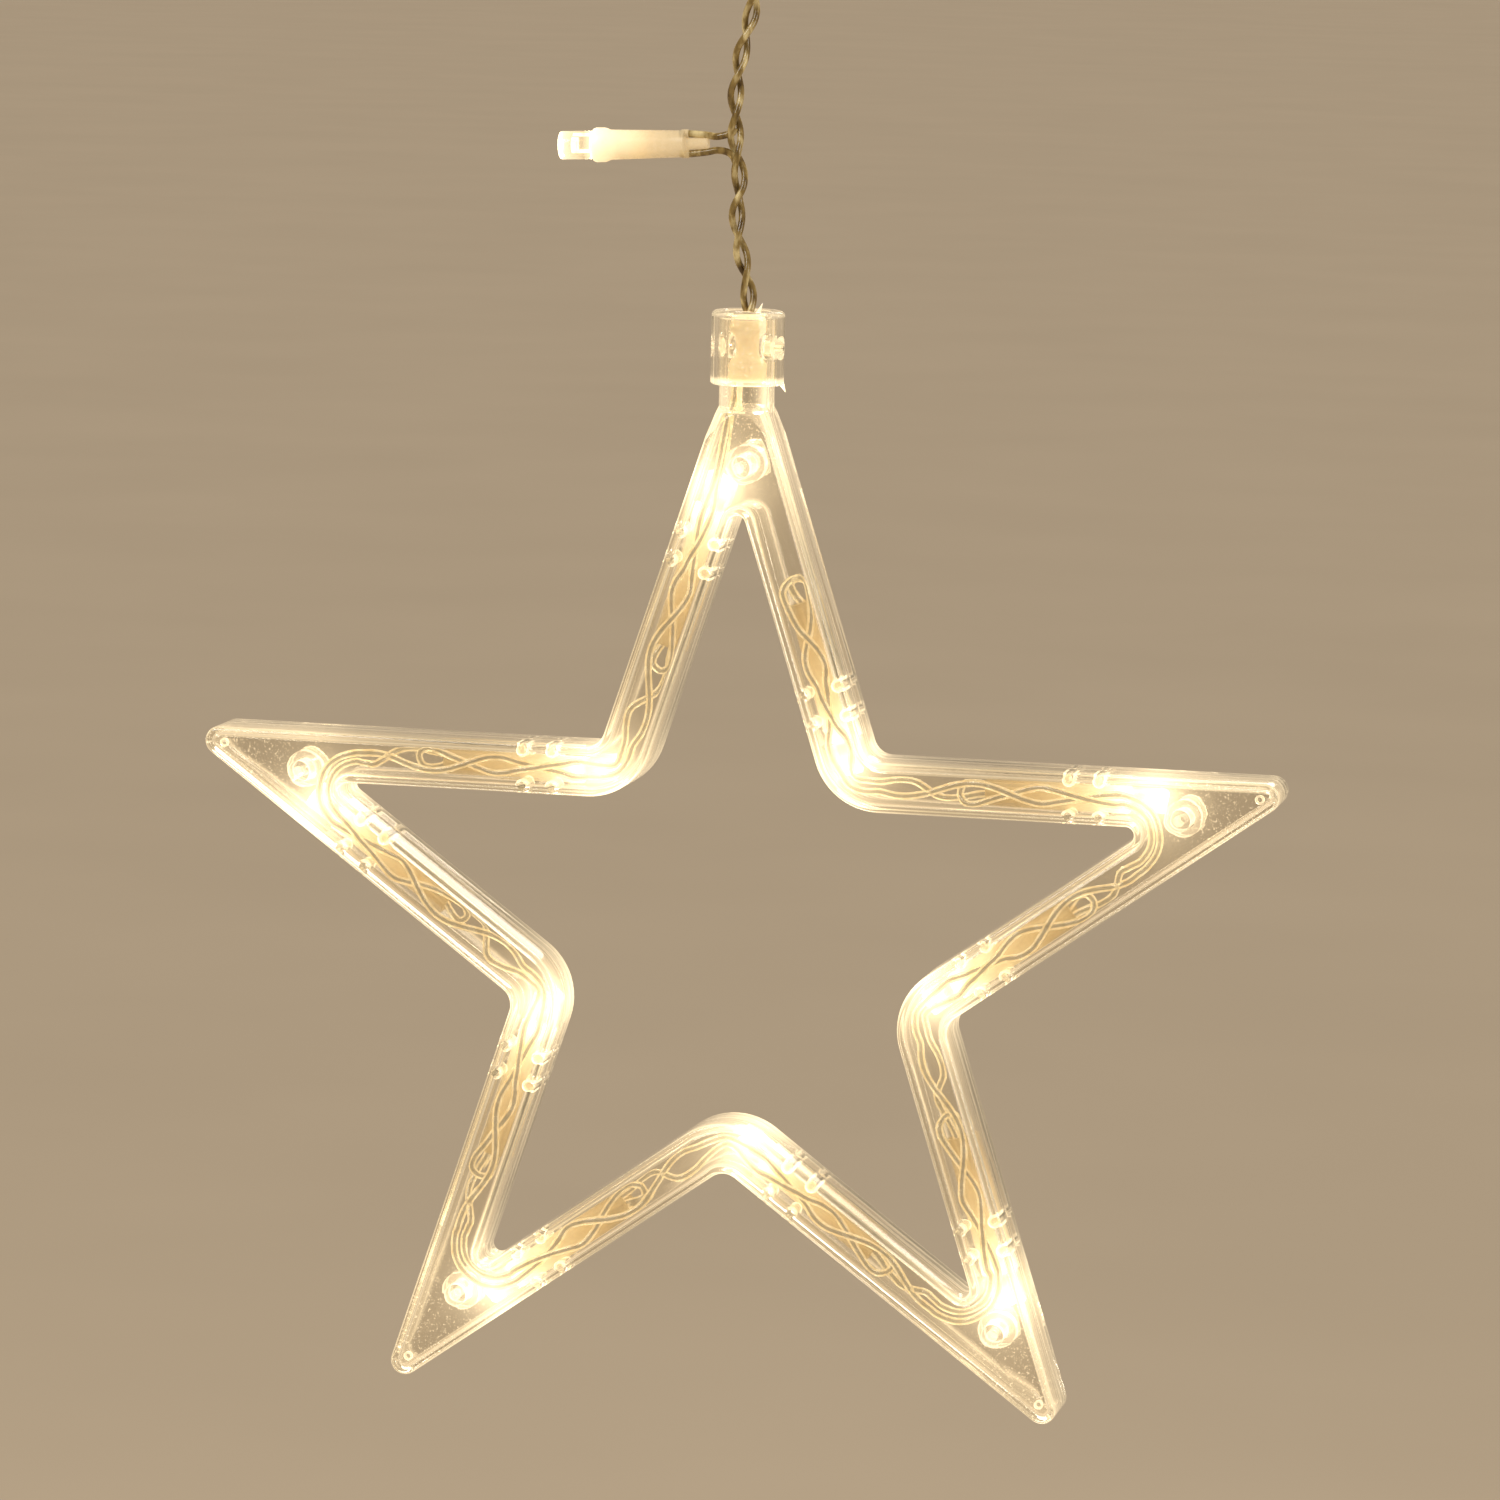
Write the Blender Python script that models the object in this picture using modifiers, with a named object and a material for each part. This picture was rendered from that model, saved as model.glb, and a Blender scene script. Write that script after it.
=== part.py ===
"""A star icicle light: a clear two-shell star frame with ten lamps along its arms, and a lamp on its lead.

Metres, +Z up. The origin is the hanging hook's seat, the star hangs in the XZ plane, and its front faces -Y.
"""
import math

import bmesh
import bpy
from mathutils import Matrix, Vector

# Clearances and cutting
fit_gap = 0.0003
seam_gap = 0.0003
cut_overrun = 0.002
merge_distance = 0.00002

# Star frame
star_points = 5
star_reach = 0.1026
arm_width = 0.0090
shell_depth = 0.0060
wall = 0.0012
face_sheet = 0.0012
tip_round = 0.0026
bend_round = 0.0035
window_tip_round = 0.0015
window_bend_round = 0.0120
edge_round = 0.0007

# Bosses that join the shells, one in each tip
boss_from_window = 0.00716
socket_diameter = 0.0067
pin_diameter = 0.0040
socket_length = 0.0058
pin_end_gap = 0.0018

# Paired posts that hold each lamp
post_diameter = 0.0024
post_side = 0.0029
post_first = 0.0106
post_pitch = 0.0054

# Neck and cap
neck_diameter = 0.0098
neck_bore = 0.0070
shoulder_half_width = 0.00436
neck_length = 0.0153
neck_root = 0.0040
cap_length = 0.0130
cap_lip = 0.0012
cap_diameter = 0.0130
cap_mouth = 0.0084
cap_round = 0.0009
peg_diameter = 0.0042
peg_core = 0.0012
peg_core_depth = 0.0030
peg_inner_reach = 0.0026

# Glue plug that holds the lead in the neck
glue_recess = 0.0004
glue_below_pegs = 0.0051
glue_waist = 0.0044

# Lamps
lamp_depth = 0.0016
tip_lamp_start = 0.0128
bend_lamp_start = 0.0015
head_diameter = 0.0050
head_length = 0.0058
head_edge = 0.0003
cone_diameter = 0.0038
cone_depth = 0.0012
spigot_diameter = 0.0036
spigot_length = 0.0018
sleeve_diameter = 0.0056
flange_diameter = 0.0059
flange_length = 0.0029
lamp_length = 0.0316
sleeve_bore = 0.0042
sleeve_bore_depth = 0.0070

# Wires inside the star
wire_diameter = 0.0013
through_depth = -0.00395
series_depth = -0.00235
wire_side = 0.0007
wire_leave = 0.0030
wire_rise = 0.0062
wire_return = 0.0032
wire_bend = 0.0020
corner_bend = 0.0060
wires_from_window = 0.0021
neck_wire_depth = 0.0008
neck_wire_drop = 0.0040
top_tip_along = 0.0090
top_tip_side = -0.0006

# Lead, hook and the lamp on the lead
lead_diameter = 0.0024
lead_spacing = 0.0030
hook_rod = 0.0020
hook_radius = 0.0042
hook_shank = 0.0090
hook_shank_blend = 0.0030
top_sleeve_length = 0.0120
top_sleeve_diameter = 0.0052
shank_seat = 0.0045
upper_lead_drop = 0.0276
lower_lead_drop = 0.0290
junction_side = -0.0029
bulb_reach = 0.0037
bulb_length = 0.0281
bulb_wire_diameter = 0.0014
bulb_wire_gap = 0.0005

# Angles and counts
hook_end_angle = math.radians(205)
bulb_droop = math.radians(2.5)
tip_half_angle = math.pi / (2 * star_points)
round_steps = 16
lamp_steps = 12
post_steps = 8
tip_arc_steps = 5
bend_arc_steps = 4
hook_arc_steps = 12
bend_steps = 3

# The lead's route, as sideways places at even drops from each stretch's top to its bottom
upper_lead_sides = (0.0, -0.0004, -0.0013, -0.0022, -0.0028, -0.0031, -0.0030, -0.0029)
lower_lead_sides = (-0.0029, -0.0023, -0.0020, -0.0024, -0.0023, -0.0017, -0.0008, -0.0001, 0.0)

# Outline of the star, worked from its reach
full_reach = star_reach + tip_round * (1 / math.sin(tip_half_angle) - 1)
side_distance = full_reach * math.sin(tip_half_angle)
bend_share = math.cos(2 * math.pi / star_points) / math.cos(math.pi / star_points)
middle_reach = full_reach * (side_distance - arm_width / 2) / side_distance
window_tip_reach = (
    full_reach * (side_distance - arm_width + wall) / side_distance
    - (window_tip_round + wall) * (1 / math.sin(tip_half_angle) - 1)
)
boss_reach = window_tip_reach + boss_from_window
tip_turn = (middle_reach - window_tip_reach - wires_from_window) / math.cos(tip_half_angle)

# Neck, cap and glue, worked up from where the top tip is cut square, above the star's centre
shoulder_height = full_reach - shoulder_half_width / math.tan(tip_half_angle)
neck_height = shoulder_height + neck_length
cap_ledge_height = neck_height + fit_gap
cap_top_height = cap_ledge_height + cap_lip
cap_bottom_height = cap_top_height - cap_length
peg_height = cap_top_height - cap_length / 2
glue_top_height = cap_top_height - glue_recess
glue_bottom_height = peg_height - glue_below_pegs
glue_waist_half = peg_diameter / 2 + fit_gap

# Heights worked down from the hook's seat
hook_centre_height = hook_rod / 2 - hook_radius
shank_end_height = hook_centre_height - hook_radius - hook_shank
top_sleeve_top = shank_end_height + shank_seat
top_sleeve_bottom = top_sleeve_top - top_sleeve_length
upper_lead_top = top_sleeve_bottom - fit_gap
junction_height = upper_lead_top - upper_lead_drop
lower_lead_top = junction_height - fit_gap
lower_lead_bottom = lower_lead_top - lower_lead_drop
star_height = lower_lead_bottom - fit_gap - glue_top_height


def clear_scene():
    for obj in list(bpy.data.objects):
        bpy.data.objects.remove(obj)


def new_collection(name):
    collection = bpy.data.collections.new(name)
    bpy.context.scene.collection.children.link(collection)
    return collection


def make_material(name, colour, roughness, transmission=0.0):
    material = bpy.data.materials.new(name)
    material.use_nodes = True
    shader = material.node_tree.nodes["Principled BSDF"]
    shader.inputs["Base Color"].default_value = (*colour, 1)
    shader.inputs["Roughness"].default_value = roughness
    shader.inputs["Metallic"].default_value = 0
    shader.inputs["Transmission Weight"].default_value = transmission
    return material


def place(name, data, material):
    obj = bpy.data.objects.new(name, data)
    if material:
        if not data.materials:
            data.materials.append(material)
        parts.objects.link(obj)
    else:
        cutters.objects.link(obj)
        obj.hide_render = True
        obj.display_type = "WIRE"
    return obj


def mesh_of(curve_object):
    """A mesh copy of a curve object, its loose caps welded, and the curve removed."""
    graph = bpy.context.evaluated_depsgraph_get()
    mesh = bpy.data.meshes.new_from_object(curve_object.evaluated_get(graph))
    name, matrix = curve_object.name, curve_object.matrix_world.copy()
    bpy.data.objects.remove(curve_object)
    shape = bmesh.new()
    shape.from_mesh(mesh)
    bmesh.ops.remove_doubles(shape, verts=shape.verts, dist=merge_distance)
    bmesh.ops.recalc_face_normals(shape, faces=shape.faces)
    shape.to_mesh(mesh)
    shape.free()
    mesh.materials.clear()
    return name, mesh, matrix


def join(target, operand, operation):
    modifier = target.modifiers.new(operand.name, "BOOLEAN")
    modifier.operation = operation
    modifier.object = operand
    modifier.solver = "EXACT"


def arc(centre, radius, start, end, steps):
    for step in range(steps + 1):
        angle = start + (end - start) * step / steps
        yield centre[0] + radius * math.cos(angle), centre[1] + radius * math.sin(angle)


def star_outline(inset, tip_radius, bend_radius):
    """The star's rounded outline, its straight sides moved in by inset, as (x, height) about its centre."""
    reach = full_reach * (side_distance - inset) / side_distance
    outline = []
    tip_turn_half = math.pi / 2 - tip_half_angle
    bend_half = math.pi / 2 - (math.pi / star_points + tip_half_angle)
    for point in range(star_points):
        tip_angle = math.pi / 2 + 2 * math.pi * point / star_points
        centre_reach = reach - tip_radius / math.sin(tip_half_angle)
        centre = centre_reach * math.cos(tip_angle), centre_reach * math.sin(tip_angle)
        outline += arc(centre, tip_radius, tip_angle - tip_turn_half, tip_angle + tip_turn_half, tip_arc_steps)
        bend_angle = tip_angle + math.pi / star_points
        bend_reach = reach * bend_share + bend_radius / math.cos(bend_half)
        centre = bend_reach * math.cos(bend_angle), bend_reach * math.sin(bend_angle)
        back = bend_angle + math.pi
        outline += arc(centre, bend_radius, back + bend_half, back - bend_half, bend_arc_steps)
    return outline


def ring_mesh(name, outlines, half_depth, rounding=0.0):
    """A flat ring between two outlines in the XZ plane at the star's height, its rims rounded."""
    curve = bpy.data.curves.new(name, "CURVE")
    curve.dimensions = "2D"
    curve.fill_mode = "BOTH"
    curve.extrude = half_depth - rounding
    curve.bevel_depth = rounding
    curve.bevel_resolution = 1
    curve.offset = -rounding
    for outline in outlines:
        spline = curve.splines.new("POLY")
        spline.points.add(len(outline) - 1)
        for point, (x, z) in zip(spline.points, outline):
            point.co = (x, z, 0, 1)
        spline.use_cyclic_u = True
    ring = bpy.data.objects.new(name, curve)
    bpy.context.scene.collection.objects.link(ring)
    bpy.context.view_layer.update()
    name, mesh, _ = mesh_of(ring)
    mesh.transform(Matrix.Translation((0, 0, star_height)) @ Matrix.Rotation(math.pi / 2, 4, "X"))
    return mesh


def block(name, low, high):
    shape = bmesh.new()
    bmesh.ops.create_cube(shape, size=1)
    size = Vector(high) - Vector(low)
    placing = Matrix.Translation((Vector(high) + Vector(low)) / 2) @ Matrix.Diagonal((*size, 1))
    bmesh.ops.transform(shape, matrix=placing, verts=shape.verts)
    mesh = bpy.data.meshes.new(name)
    shape.to_mesh(mesh)
    shape.free()
    return place(name, mesh, None)


def rods(name, spans, steps, turns=None):
    """Plain cylinders, each given as (start, end, diameter), in one mesh for joining or cutting.

    The turns say how far each one's facets are turned about its axis, to keep corners off other surfaces.
    """
    shape = bmesh.new()
    for (start, end, diameter), turned_by in zip(spans, turns or [0] * len(spans)):
        start, end = Vector(start), Vector(end)
        turn = (end - start).to_track_quat("Z", "Y").to_matrix().to_4x4() @ Matrix.Rotation(turned_by, 4, "Z")
        bmesh.ops.create_cone(
            shape,
            cap_ends=True,
            segments=steps,
            radius1=diameter / 2,
            radius2=diameter / 2,
            depth=(end - start).length,
            matrix=Matrix.Translation((start + end) / 2) @ turn,
        )
    mesh = bpy.data.meshes.new(name)
    shape.to_mesh(mesh)
    shape.free()
    return place(name, mesh, None)


def turned(name, profile, material, steps=round_steps, location=(0, 0, 0), rotation=(0, 0, 0)):
    """A turned piece from (radius, height) points that run down its outer side."""
    mesh = bpy.data.meshes.get(name.rstrip("0123456789_") + "_profile")
    if mesh is None:
        mesh = bpy.data.meshes.new(name.rstrip("0123456789_") + "_profile")
        edges = [(i, i + 1) for i in range(len(profile) - 1)]
        mesh.from_pydata([(r, 0, z) for r, z in profile], edges, [])
    obj = place(name, mesh, material)
    screw = obj.modifiers.new("turn", "SCREW")
    screw.steps = steps
    screw.render_steps = steps
    screw.use_merge_vertices = True
    screw.merge_threshold = merge_distance
    screw.use_smooth_shade = True
    obj.location = location
    obj.rotation_euler = rotation
    return obj


def tube(name, points, diameter, material, round_start=False, round_end=False):
    """A round wire along the points, with domed ends where they are asked for."""
    points = [Vector(p) for p in points]
    radius = diameter / 2
    places = [(p, 1.0) for p in points]
    if round_start:
        places = dome(points[0], (points[1] - points[0]).normalized(), radius) + places[1:]
    if round_end:
        places = places[:-1] + dome(points[-1], (points[-2] - points[-1]).normalized(), radius)[::-1]
    curve = bpy.data.curves.new(name, "CURVE")
    curve.dimensions = "3D"
    curve.bevel_depth = radius
    curve.bevel_resolution = 2
    curve.use_fill_caps = True
    spline = curve.splines.new("POLY")
    spline.points.add(len(places) - 1)
    for point, (co, share) in zip(spline.points, places):
        point.co = (*co, 1)
        point.radius = share
    return place(name, curve, material)


def dome(end, inward, radius):
    """Points of a round end, as places and the share of the radius at each."""
    dome_shares = (0.04, 0.3, 0.62, 1.0)
    return [(end + inward * radius * s, math.sqrt(1 - (1 - s) ** 2)) for s in dome_shares]


def smooth_route(points, spacing):
    """Points at even spacing along a smooth curve through the route's own points."""
    points = [Vector(p) for p in points]
    ends = [2 * points[0] - points[1], *points, 2 * points[-1] - points[-2]]
    route = [points[0]]
    for a, b, c, d in zip(ends, ends[1:], ends[2:], ends[3:]):
        steps = max(1, round((c - b).length / spacing))
        for step in range(1, steps + 1):
            t = step / steps
            route.append(
                (2 * b + (c - a) * t + (2 * a - 5 * b + 4 * c - d) * t ** 2 + (3 * b - a - 3 * c + d) * t ** 3) / 2
            )
    return route


def rounded_route(corners):
    """A route through corner points given as (point, bend), each corner rounded over its bend length."""
    points = [Vector(p) for p, _ in corners]
    route = [points[0]]
    for index in range(1, len(points) - 1):
        before, corner, after = points[index - 1:index + 2]
        bend = corners[index][1]
        start = corner + (before - corner).normalized() * min(bend, (before - corner).length / 2)
        end = corner + (after - corner).normalized() * min(bend, (after - corner).length / 2)
        for step in range(bend_steps + 1):
            t = step / bend_steps
            route.append(start * (1 - t) ** 2 + corner * 2 * t * (1 - t) + end * t ** 2)
    route.append(points[-1])
    return [p for i, p in enumerate(route) if i == 0 or (p - route[i - 1]).length > merge_distance]


class Arm:
    """One of the ten arms, counted from the top tip towards -X, with places given along its centreline."""

    def __init__(self, index):
        ends = []
        for corner in (index, index + 1):
            angle = math.pi / 2 + math.pi * corner / star_points
            radius = middle_reach if corner % 2 == 0 else middle_reach * bend_share
            ends.append(Vector((radius * math.cos(angle), 0, star_height + radius * math.sin(angle))))
        self.start, self.end = ends
        self.length = (self.end - self.start).length
        self.direction = (self.end - self.start).normalized()
        self.inward = Vector((self.direction.z, 0, -self.direction.x))
        if self.inward.dot(Vector((0, 0, star_height)) - self.start) < 0:
            self.inward.negate()
        self.from_tip = index % 2 == 0
        self.lamp_start = tip_lamp_start if self.from_tip else bend_lamp_start

    def at(self, along, side, depth):
        return self.start + self.direction * along + self.inward * side + Vector((0, depth, 0))


def make_shells():
    outer = star_outline(0, tip_round, bend_round)
    window = star_outline(arm_width, window_tip_round, window_bend_round)
    blank = ring_mesh("star_blank", (outer, window), shell_depth, edge_round)
    hollow_outer = star_outline(wall, tip_round - wall, bend_round + wall)
    hollow_window = star_outline(arm_width - wall, window_tip_round + wall, window_bend_round - wall)
    hollow_mesh = ring_mesh("star_hollow", (hollow_outer, hollow_window), shell_depth - face_sheet)
    hollow = place("star_hollow", hollow_mesh, None)
    half = neck_diameter
    crown_top = star_height + full_reach + cut_overrun
    deep = shell_depth + cut_overrun
    crown = block("crown_cut", (-half, -deep, star_height + shoulder_height), (half, deep, crown_top))
    hollow_crown_low = star_height + shoulder_height - face_sheet
    hollow_crown = block("hollow_crown_cut", (-half, -deep, hollow_crown_low), (half, deep, crown_top))
    join(hollow, hollow_crown, "DIFFERENCE")

    neck_low = star_height + shoulder_height - neck_root
    neck_top = star_height + neck_height
    neck = rods("neck_rod", [((0, 0, neck_low), (0, 0, neck_top), neck_diameter)], round_steps)
    bore_low = neck_low - cut_overrun
    bore = rods("neck_bore", [((0, 0, bore_low), (0, 0, neck_top + cut_overrun), neck_bore)], round_steps)
    peg_z = star_height + peg_height
    peg_hole = peg_diameter + 2 * fit_gap
    peg_out = neck_diameter / 2 + cut_overrun
    peg_span = (-peg_out, 0, peg_z), (peg_out, 0, peg_z), peg_hole
    peg_holes = rods("peg_holes", [peg_span], lamp_steps, [math.pi / lamp_steps])

    wide = full_reach + cut_overrun
    low, high = star_height - wide, star_height + neck_height + cut_overrun
    behind_seam = block("behind_seam", (-wide, -seam_gap / 2, low), (wide, deep, high))
    before_seam = block("before_seam", (-wide, -deep, low), (wide, seam_gap / 2, high))

    sheet_middle = shell_depth - face_sheet / 2
    post_end = lamp_post_end()
    posts, post_turns = [], []
    for arm in arms:
        for row in range(2):
            along = arm.lamp_start + post_first + post_pitch * row
            for side in (-post_side, post_side):
                posts.append((arm.at(along, side, -sheet_middle), arm.at(along, side, post_end), post_diameter))
                post_turns.append(math.atan2(arm.inward.z, -arm.inward.x))
    lamp_posts = rods("lamp_posts", posts, post_steps, post_turns)

    pins, sockets, socket_bores = [], [], []
    pin_end = shell_depth - face_sheet - pin_end_gap
    socket_end = shell_depth - face_sheet - socket_length
    for point in range(star_points):
        angle = math.pi / 2 + 2 * math.pi * point / star_points
        x, z = boss_reach * math.cos(angle), star_height + boss_reach * math.sin(angle)
        pins.append(((x, -sheet_middle, z), (x, pin_end, z), pin_diameter))
        sockets.append(((x, socket_end, z), (x, sheet_middle, z), socket_diameter))
        bore_end = shell_depth - face_sheet
        socket_bores.append(((x, socket_end - cut_overrun, z), (x, bore_end, z), pin_diameter + 2 * fit_gap))
    boss_pins = rods("boss_pins", pins, lamp_steps)
    boss_sockets = rods("boss_sockets", sockets, round_steps)
    boss_bores = rods("boss_bores", socket_bores, lamp_steps)

    front = place("front_shell", blank, clear_plastic)
    back = place("back_shell", blank, clear_plastic)
    for shell, beyond in ((front, behind_seam), (back, before_seam)):
        join(shell, crown, "DIFFERENCE")
        join(shell, neck, "UNION")
        join(shell, hollow, "DIFFERENCE")
        join(shell, bore, "DIFFERENCE")
        join(shell, peg_holes, "DIFFERENCE")
        join(shell, beyond, "DIFFERENCE")
    join(front, lamp_posts, "UNION")
    join(front, boss_pins, "UNION")
    join(back, boss_sockets, "UNION")
    join(back, boss_bores, "DIFFERENCE")


def lamp_post_end():
    """How deep a post reaches before it meets the lamp's sleeve."""
    inner_side = post_side - post_diameter / 2
    sleeve_radius = sleeve_diameter / 2
    return lamp_depth - math.sqrt(sleeve_radius ** 2 - inner_side ** 2) - fit_gap


def make_cap():
    low, high = star_height + cap_bottom_height, star_height + cap_top_height
    outer, inner = cap_diameter / 2, neck_diameter / 2 + fit_gap
    mouth = cap_mouth / 2
    ledge = star_height + cap_ledge_height
    profile = [
        (inner, low),
        (inner, ledge),
        (mouth, ledge),
        (mouth, high),
        (outer - cap_round, high),
        (outer - cap_round * (1 - math.sin(math.pi / 4)), high - cap_round * (1 - math.cos(math.pi / 4))),
        (outer, high - cap_round),
        (outer, low),
        (inner, low),
    ]
    cap = turned("neck_cap", profile, clear_plastic, steps=24)
    peg_z = star_height + peg_height
    spans, cores = [], []
    for side in (-1, 1):
        root = side * (outer - wall / 2)
        spans.append(((root, 0, peg_z), (side * peg_inner_reach, 0, peg_z), peg_diameter))
        outside = side * (outer + cut_overrun)
        cores.append(((outside, 0, peg_z), (side * (outer - peg_core_depth), 0, peg_z), peg_core))
    half_facet = math.pi / lamp_steps
    join(cap, rods("cap_pegs", spans, lamp_steps, [half_facet, half_facet]), "UNION")
    join(cap, rods("cap_peg_cores", cores, post_steps), "DIFFERENCE")


def make_glue():
    low, high = star_height + glue_bottom_height, star_height + glue_top_height
    radius, waist = neck_bore / 2 - fit_gap, glue_waist / 2
    peg_z = star_height + peg_height
    crown = radius / 3
    profile = [
        (0, high),
        (radius * math.cos(math.pi / 4), high - crown / 4),
        (radius, high - crown),
        (radius, peg_z + glue_waist_half + crown),
        (waist, peg_z + glue_waist_half),
        (waist, peg_z - glue_waist_half),
        (radius, peg_z - glue_waist_half - crown),
        (radius, low),
        (0, low),
    ]
    turned("glue_plug", profile, milky_glue, steps=round_steps)


def lens_profile():
    head, spigot = head_diameter / 2, spigot_diameter / 2
    return [
        (0, -cone_depth),
        (cone_diameter / 2, 0),
        (head - head_edge, 0),
        (head, -head_edge),
        (head, -head_length),
        (spigot, -head_length),
        (spigot, -head_length - spigot_length),
        (0, -head_length - spigot_length),
    ]


def sleeve_profile(length):
    top = -head_length - fit_gap
    floor = top - spigot_length - fit_gap
    recess = spigot_diameter / 2 + fit_gap
    flange, body, bore = flange_diameter / 2, sleeve_diameter / 2, sleeve_bore / 2
    return [
        (0, floor),
        (recess, floor),
        (recess, top),
        (flange, top),
        (flange, top - flange_length),
        (body, top - flange_length),
        (body, -length),
        (bore, -length),
        (bore, sleeve_bore_depth - length),
        (0, sleeve_bore_depth - length),
    ]


def make_lamp(lens_name, sleeve_name, nose, towards, length=lamp_length):
    """A lamp whose nose points along towards, in the XZ plane."""
    turn = (0, math.atan2(towards.x, towards.z), 0)
    turned(lens_name, lens_profile(), lamp_clear, lamp_steps, nose, turn)
    turned(sleeve_name, sleeve_profile(length), milky_sleeve, lamp_steps, nose, turn)


def make_star_lamps():
    for number, arm in enumerate(arms, 1):
        nose = arm.at(arm.lamp_start, 0, lamp_depth)
        make_lamp(f"lamp_lens_{number:02d}", f"lamp_sleeve_{number:02d}", nose, -arm.direction)


def corner_route(before, after, side_before, side_after, depth):
    """How a wire turns from one arm into the next: across inside the boss in a tip, or round the bend."""
    if after.from_tip:
        return [
            (before.at(before.length - tip_turn, side_before, depth), corner_bend),
            (after.at(tip_turn, side_after, depth), corner_bend),
        ]
    return [(after.at(0, 0, depth), corner_bend)]


def into_sleeve(arm, side, depth):
    """A wire's turn back into the open end of a lamp's sleeve."""
    end = arm.lamp_start + lamp_length
    return [
        (arm.at(end + wire_return, side, depth), wire_bend),
        (arm.at(end + wire_return, side, lamp_depth), wire_bend),
        (arm.at(end - sleeve_bore_depth + fit_gap, side, lamp_depth), 0),
    ]


def out_of_sleeve(arm, side, depth):
    end = arm.lamp_start + lamp_length
    return [
        (arm.at(end - sleeve_bore_depth + fit_gap, side, lamp_depth), 0),
        (arm.at(end + wire_leave, side, lamp_depth), wire_bend),
        (arm.at(end + wire_rise, side, depth), wire_bend),
    ]


def from_neck(neck_depth, depth):
    """A wire's way from under the glue, down the neck and past the top boss."""
    top = star_height + glue_bottom_height - fit_gap
    return [
        (Vector((0, neck_depth, top)), 0),
        (Vector((0, neck_depth, top - neck_wire_drop)), wire_bend),
        (arms[0].at(top_tip_along, top_tip_side, depth), wire_bend),
    ]


def make_star_wires():
    """One wire runs through the whole star, and ten more link lamp to lamp."""
    route = from_neck(-neck_wire_depth, through_depth)
    for before, after in zip(arms, arms[1:]):
        route += corner_route(before, after, 0, 0, through_depth)
    route += into_sleeve(arms[-1], wire_side, through_depth)
    tube("through_wire", rounded_route(route), wire_diameter, clear_wire)
    for number, arm in enumerate(arms, 1):
        if number == 1:
            route = from_neck(neck_wire_depth, series_depth)
        else:
            before = arms[number - 2]
            route = out_of_sleeve(before, wire_side, series_depth)
            route += corner_route(before, arm, wire_side, -wire_side, series_depth)
        route += into_sleeve(arm, -wire_side, series_depth)
        tube(f"link_wire_{number:02d}", rounded_route(route), wire_diameter, clear_wire)


def lead_points(top, bottom, sides):
    drops = len(sides) - 1
    return [(x, 0, top + (bottom - top) * i / drops) for i, x in enumerate(sides)]


def make_lead():
    upper = smooth_route(lead_points(upper_lead_top, junction_height, upper_lead_sides), lead_spacing)
    lower = smooth_route(lead_points(lower_lead_top, lower_lead_bottom, lower_lead_sides), lead_spacing)
    tube("upper_lead", upper, lead_diameter, clear_wire, round_start=True, round_end=True)
    tube("lower_lead", lower, lead_diameter, clear_wire, round_start=True)


def make_lead_bulb():
    """The lamp that stands out from the lead at the junction of its two stretches."""
    towards = Vector((-math.cos(bulb_droop), 0, -math.sin(bulb_droop)))
    joint = Vector((junction_side, 0, junction_height))
    make_lamp("bulb_lens", "bulb_sleeve", joint + towards * (bulb_reach + bulb_length), towards, bulb_length)
    inner = joint + towards * (bulb_reach + sleeve_bore_depth - fit_gap)
    outer = joint + towards * (lead_diameter / 2 + bulb_wire_gap)
    tube("bulb_wires", (inner, (inner + outer) / 2, outer), bulb_wire_diameter, clear_wire, round_end=True)


def make_hook():
    """A question-mark hook whose seat is the origin, and the sleeve that grips it and the lead."""
    points = [(0, 0, shank_end_height), (0, 0, hook_centre_height - hook_radius - hook_shank_blend)]
    start = -math.pi / 4
    for x, z in arc((0, hook_centre_height), hook_radius, start, hook_end_angle, hook_arc_steps):
        points.append((x, 0, z))
    tube("hanging_hook", points, hook_rod, clear_plastic)
    radius, bore = top_sleeve_diameter / 2, hook_rod / 2 + fit_gap
    floor = shank_end_height - fit_gap
    profile = [
        (0, floor),
        (bore, floor),
        (bore, top_sleeve_top),
        (radius - wall / 2, top_sleeve_top),
        (radius, top_sleeve_top - wall / 2),
        (radius, top_sleeve_bottom + wall / 2),
        (radius - wall / 2, top_sleeve_bottom),
        (0, top_sleeve_bottom),
    ]
    turned("top_sleeve", profile, milky_sleeve)


clear_scene()
parts = new_collection("star_icicle_light")
cutters = new_collection("cutters")
clear_plastic = make_material("clear_plastic", (0.96, 0.94, 0.90), 0.06, 1.0)
milky_sleeve = make_material("milky_sleeve", (0.95, 0.88, 0.72), 0.35, 0.4)
lamp_clear = make_material("lamp_clear", (1.0, 0.95, 0.82), 0.05, 0.8)
milky_glue = make_material("milky_glue", (0.95, 0.85, 0.65), 0.45, 0.2)
clear_wire = make_material("clear_wire", (0.62, 0.47, 0.25), 0.25, 0.3)
arms = [Arm(index) for index in range(2 * star_points)]
make_shells()
make_cap()
make_glue()
make_star_lamps()
make_star_wires()
make_lead()
make_lead_bulb()
make_hook()
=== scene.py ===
from contextlib import contextmanager
from functools import reduce
import math

import bmesh
import bpy
from mathutils import Matrix, Vector


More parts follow.
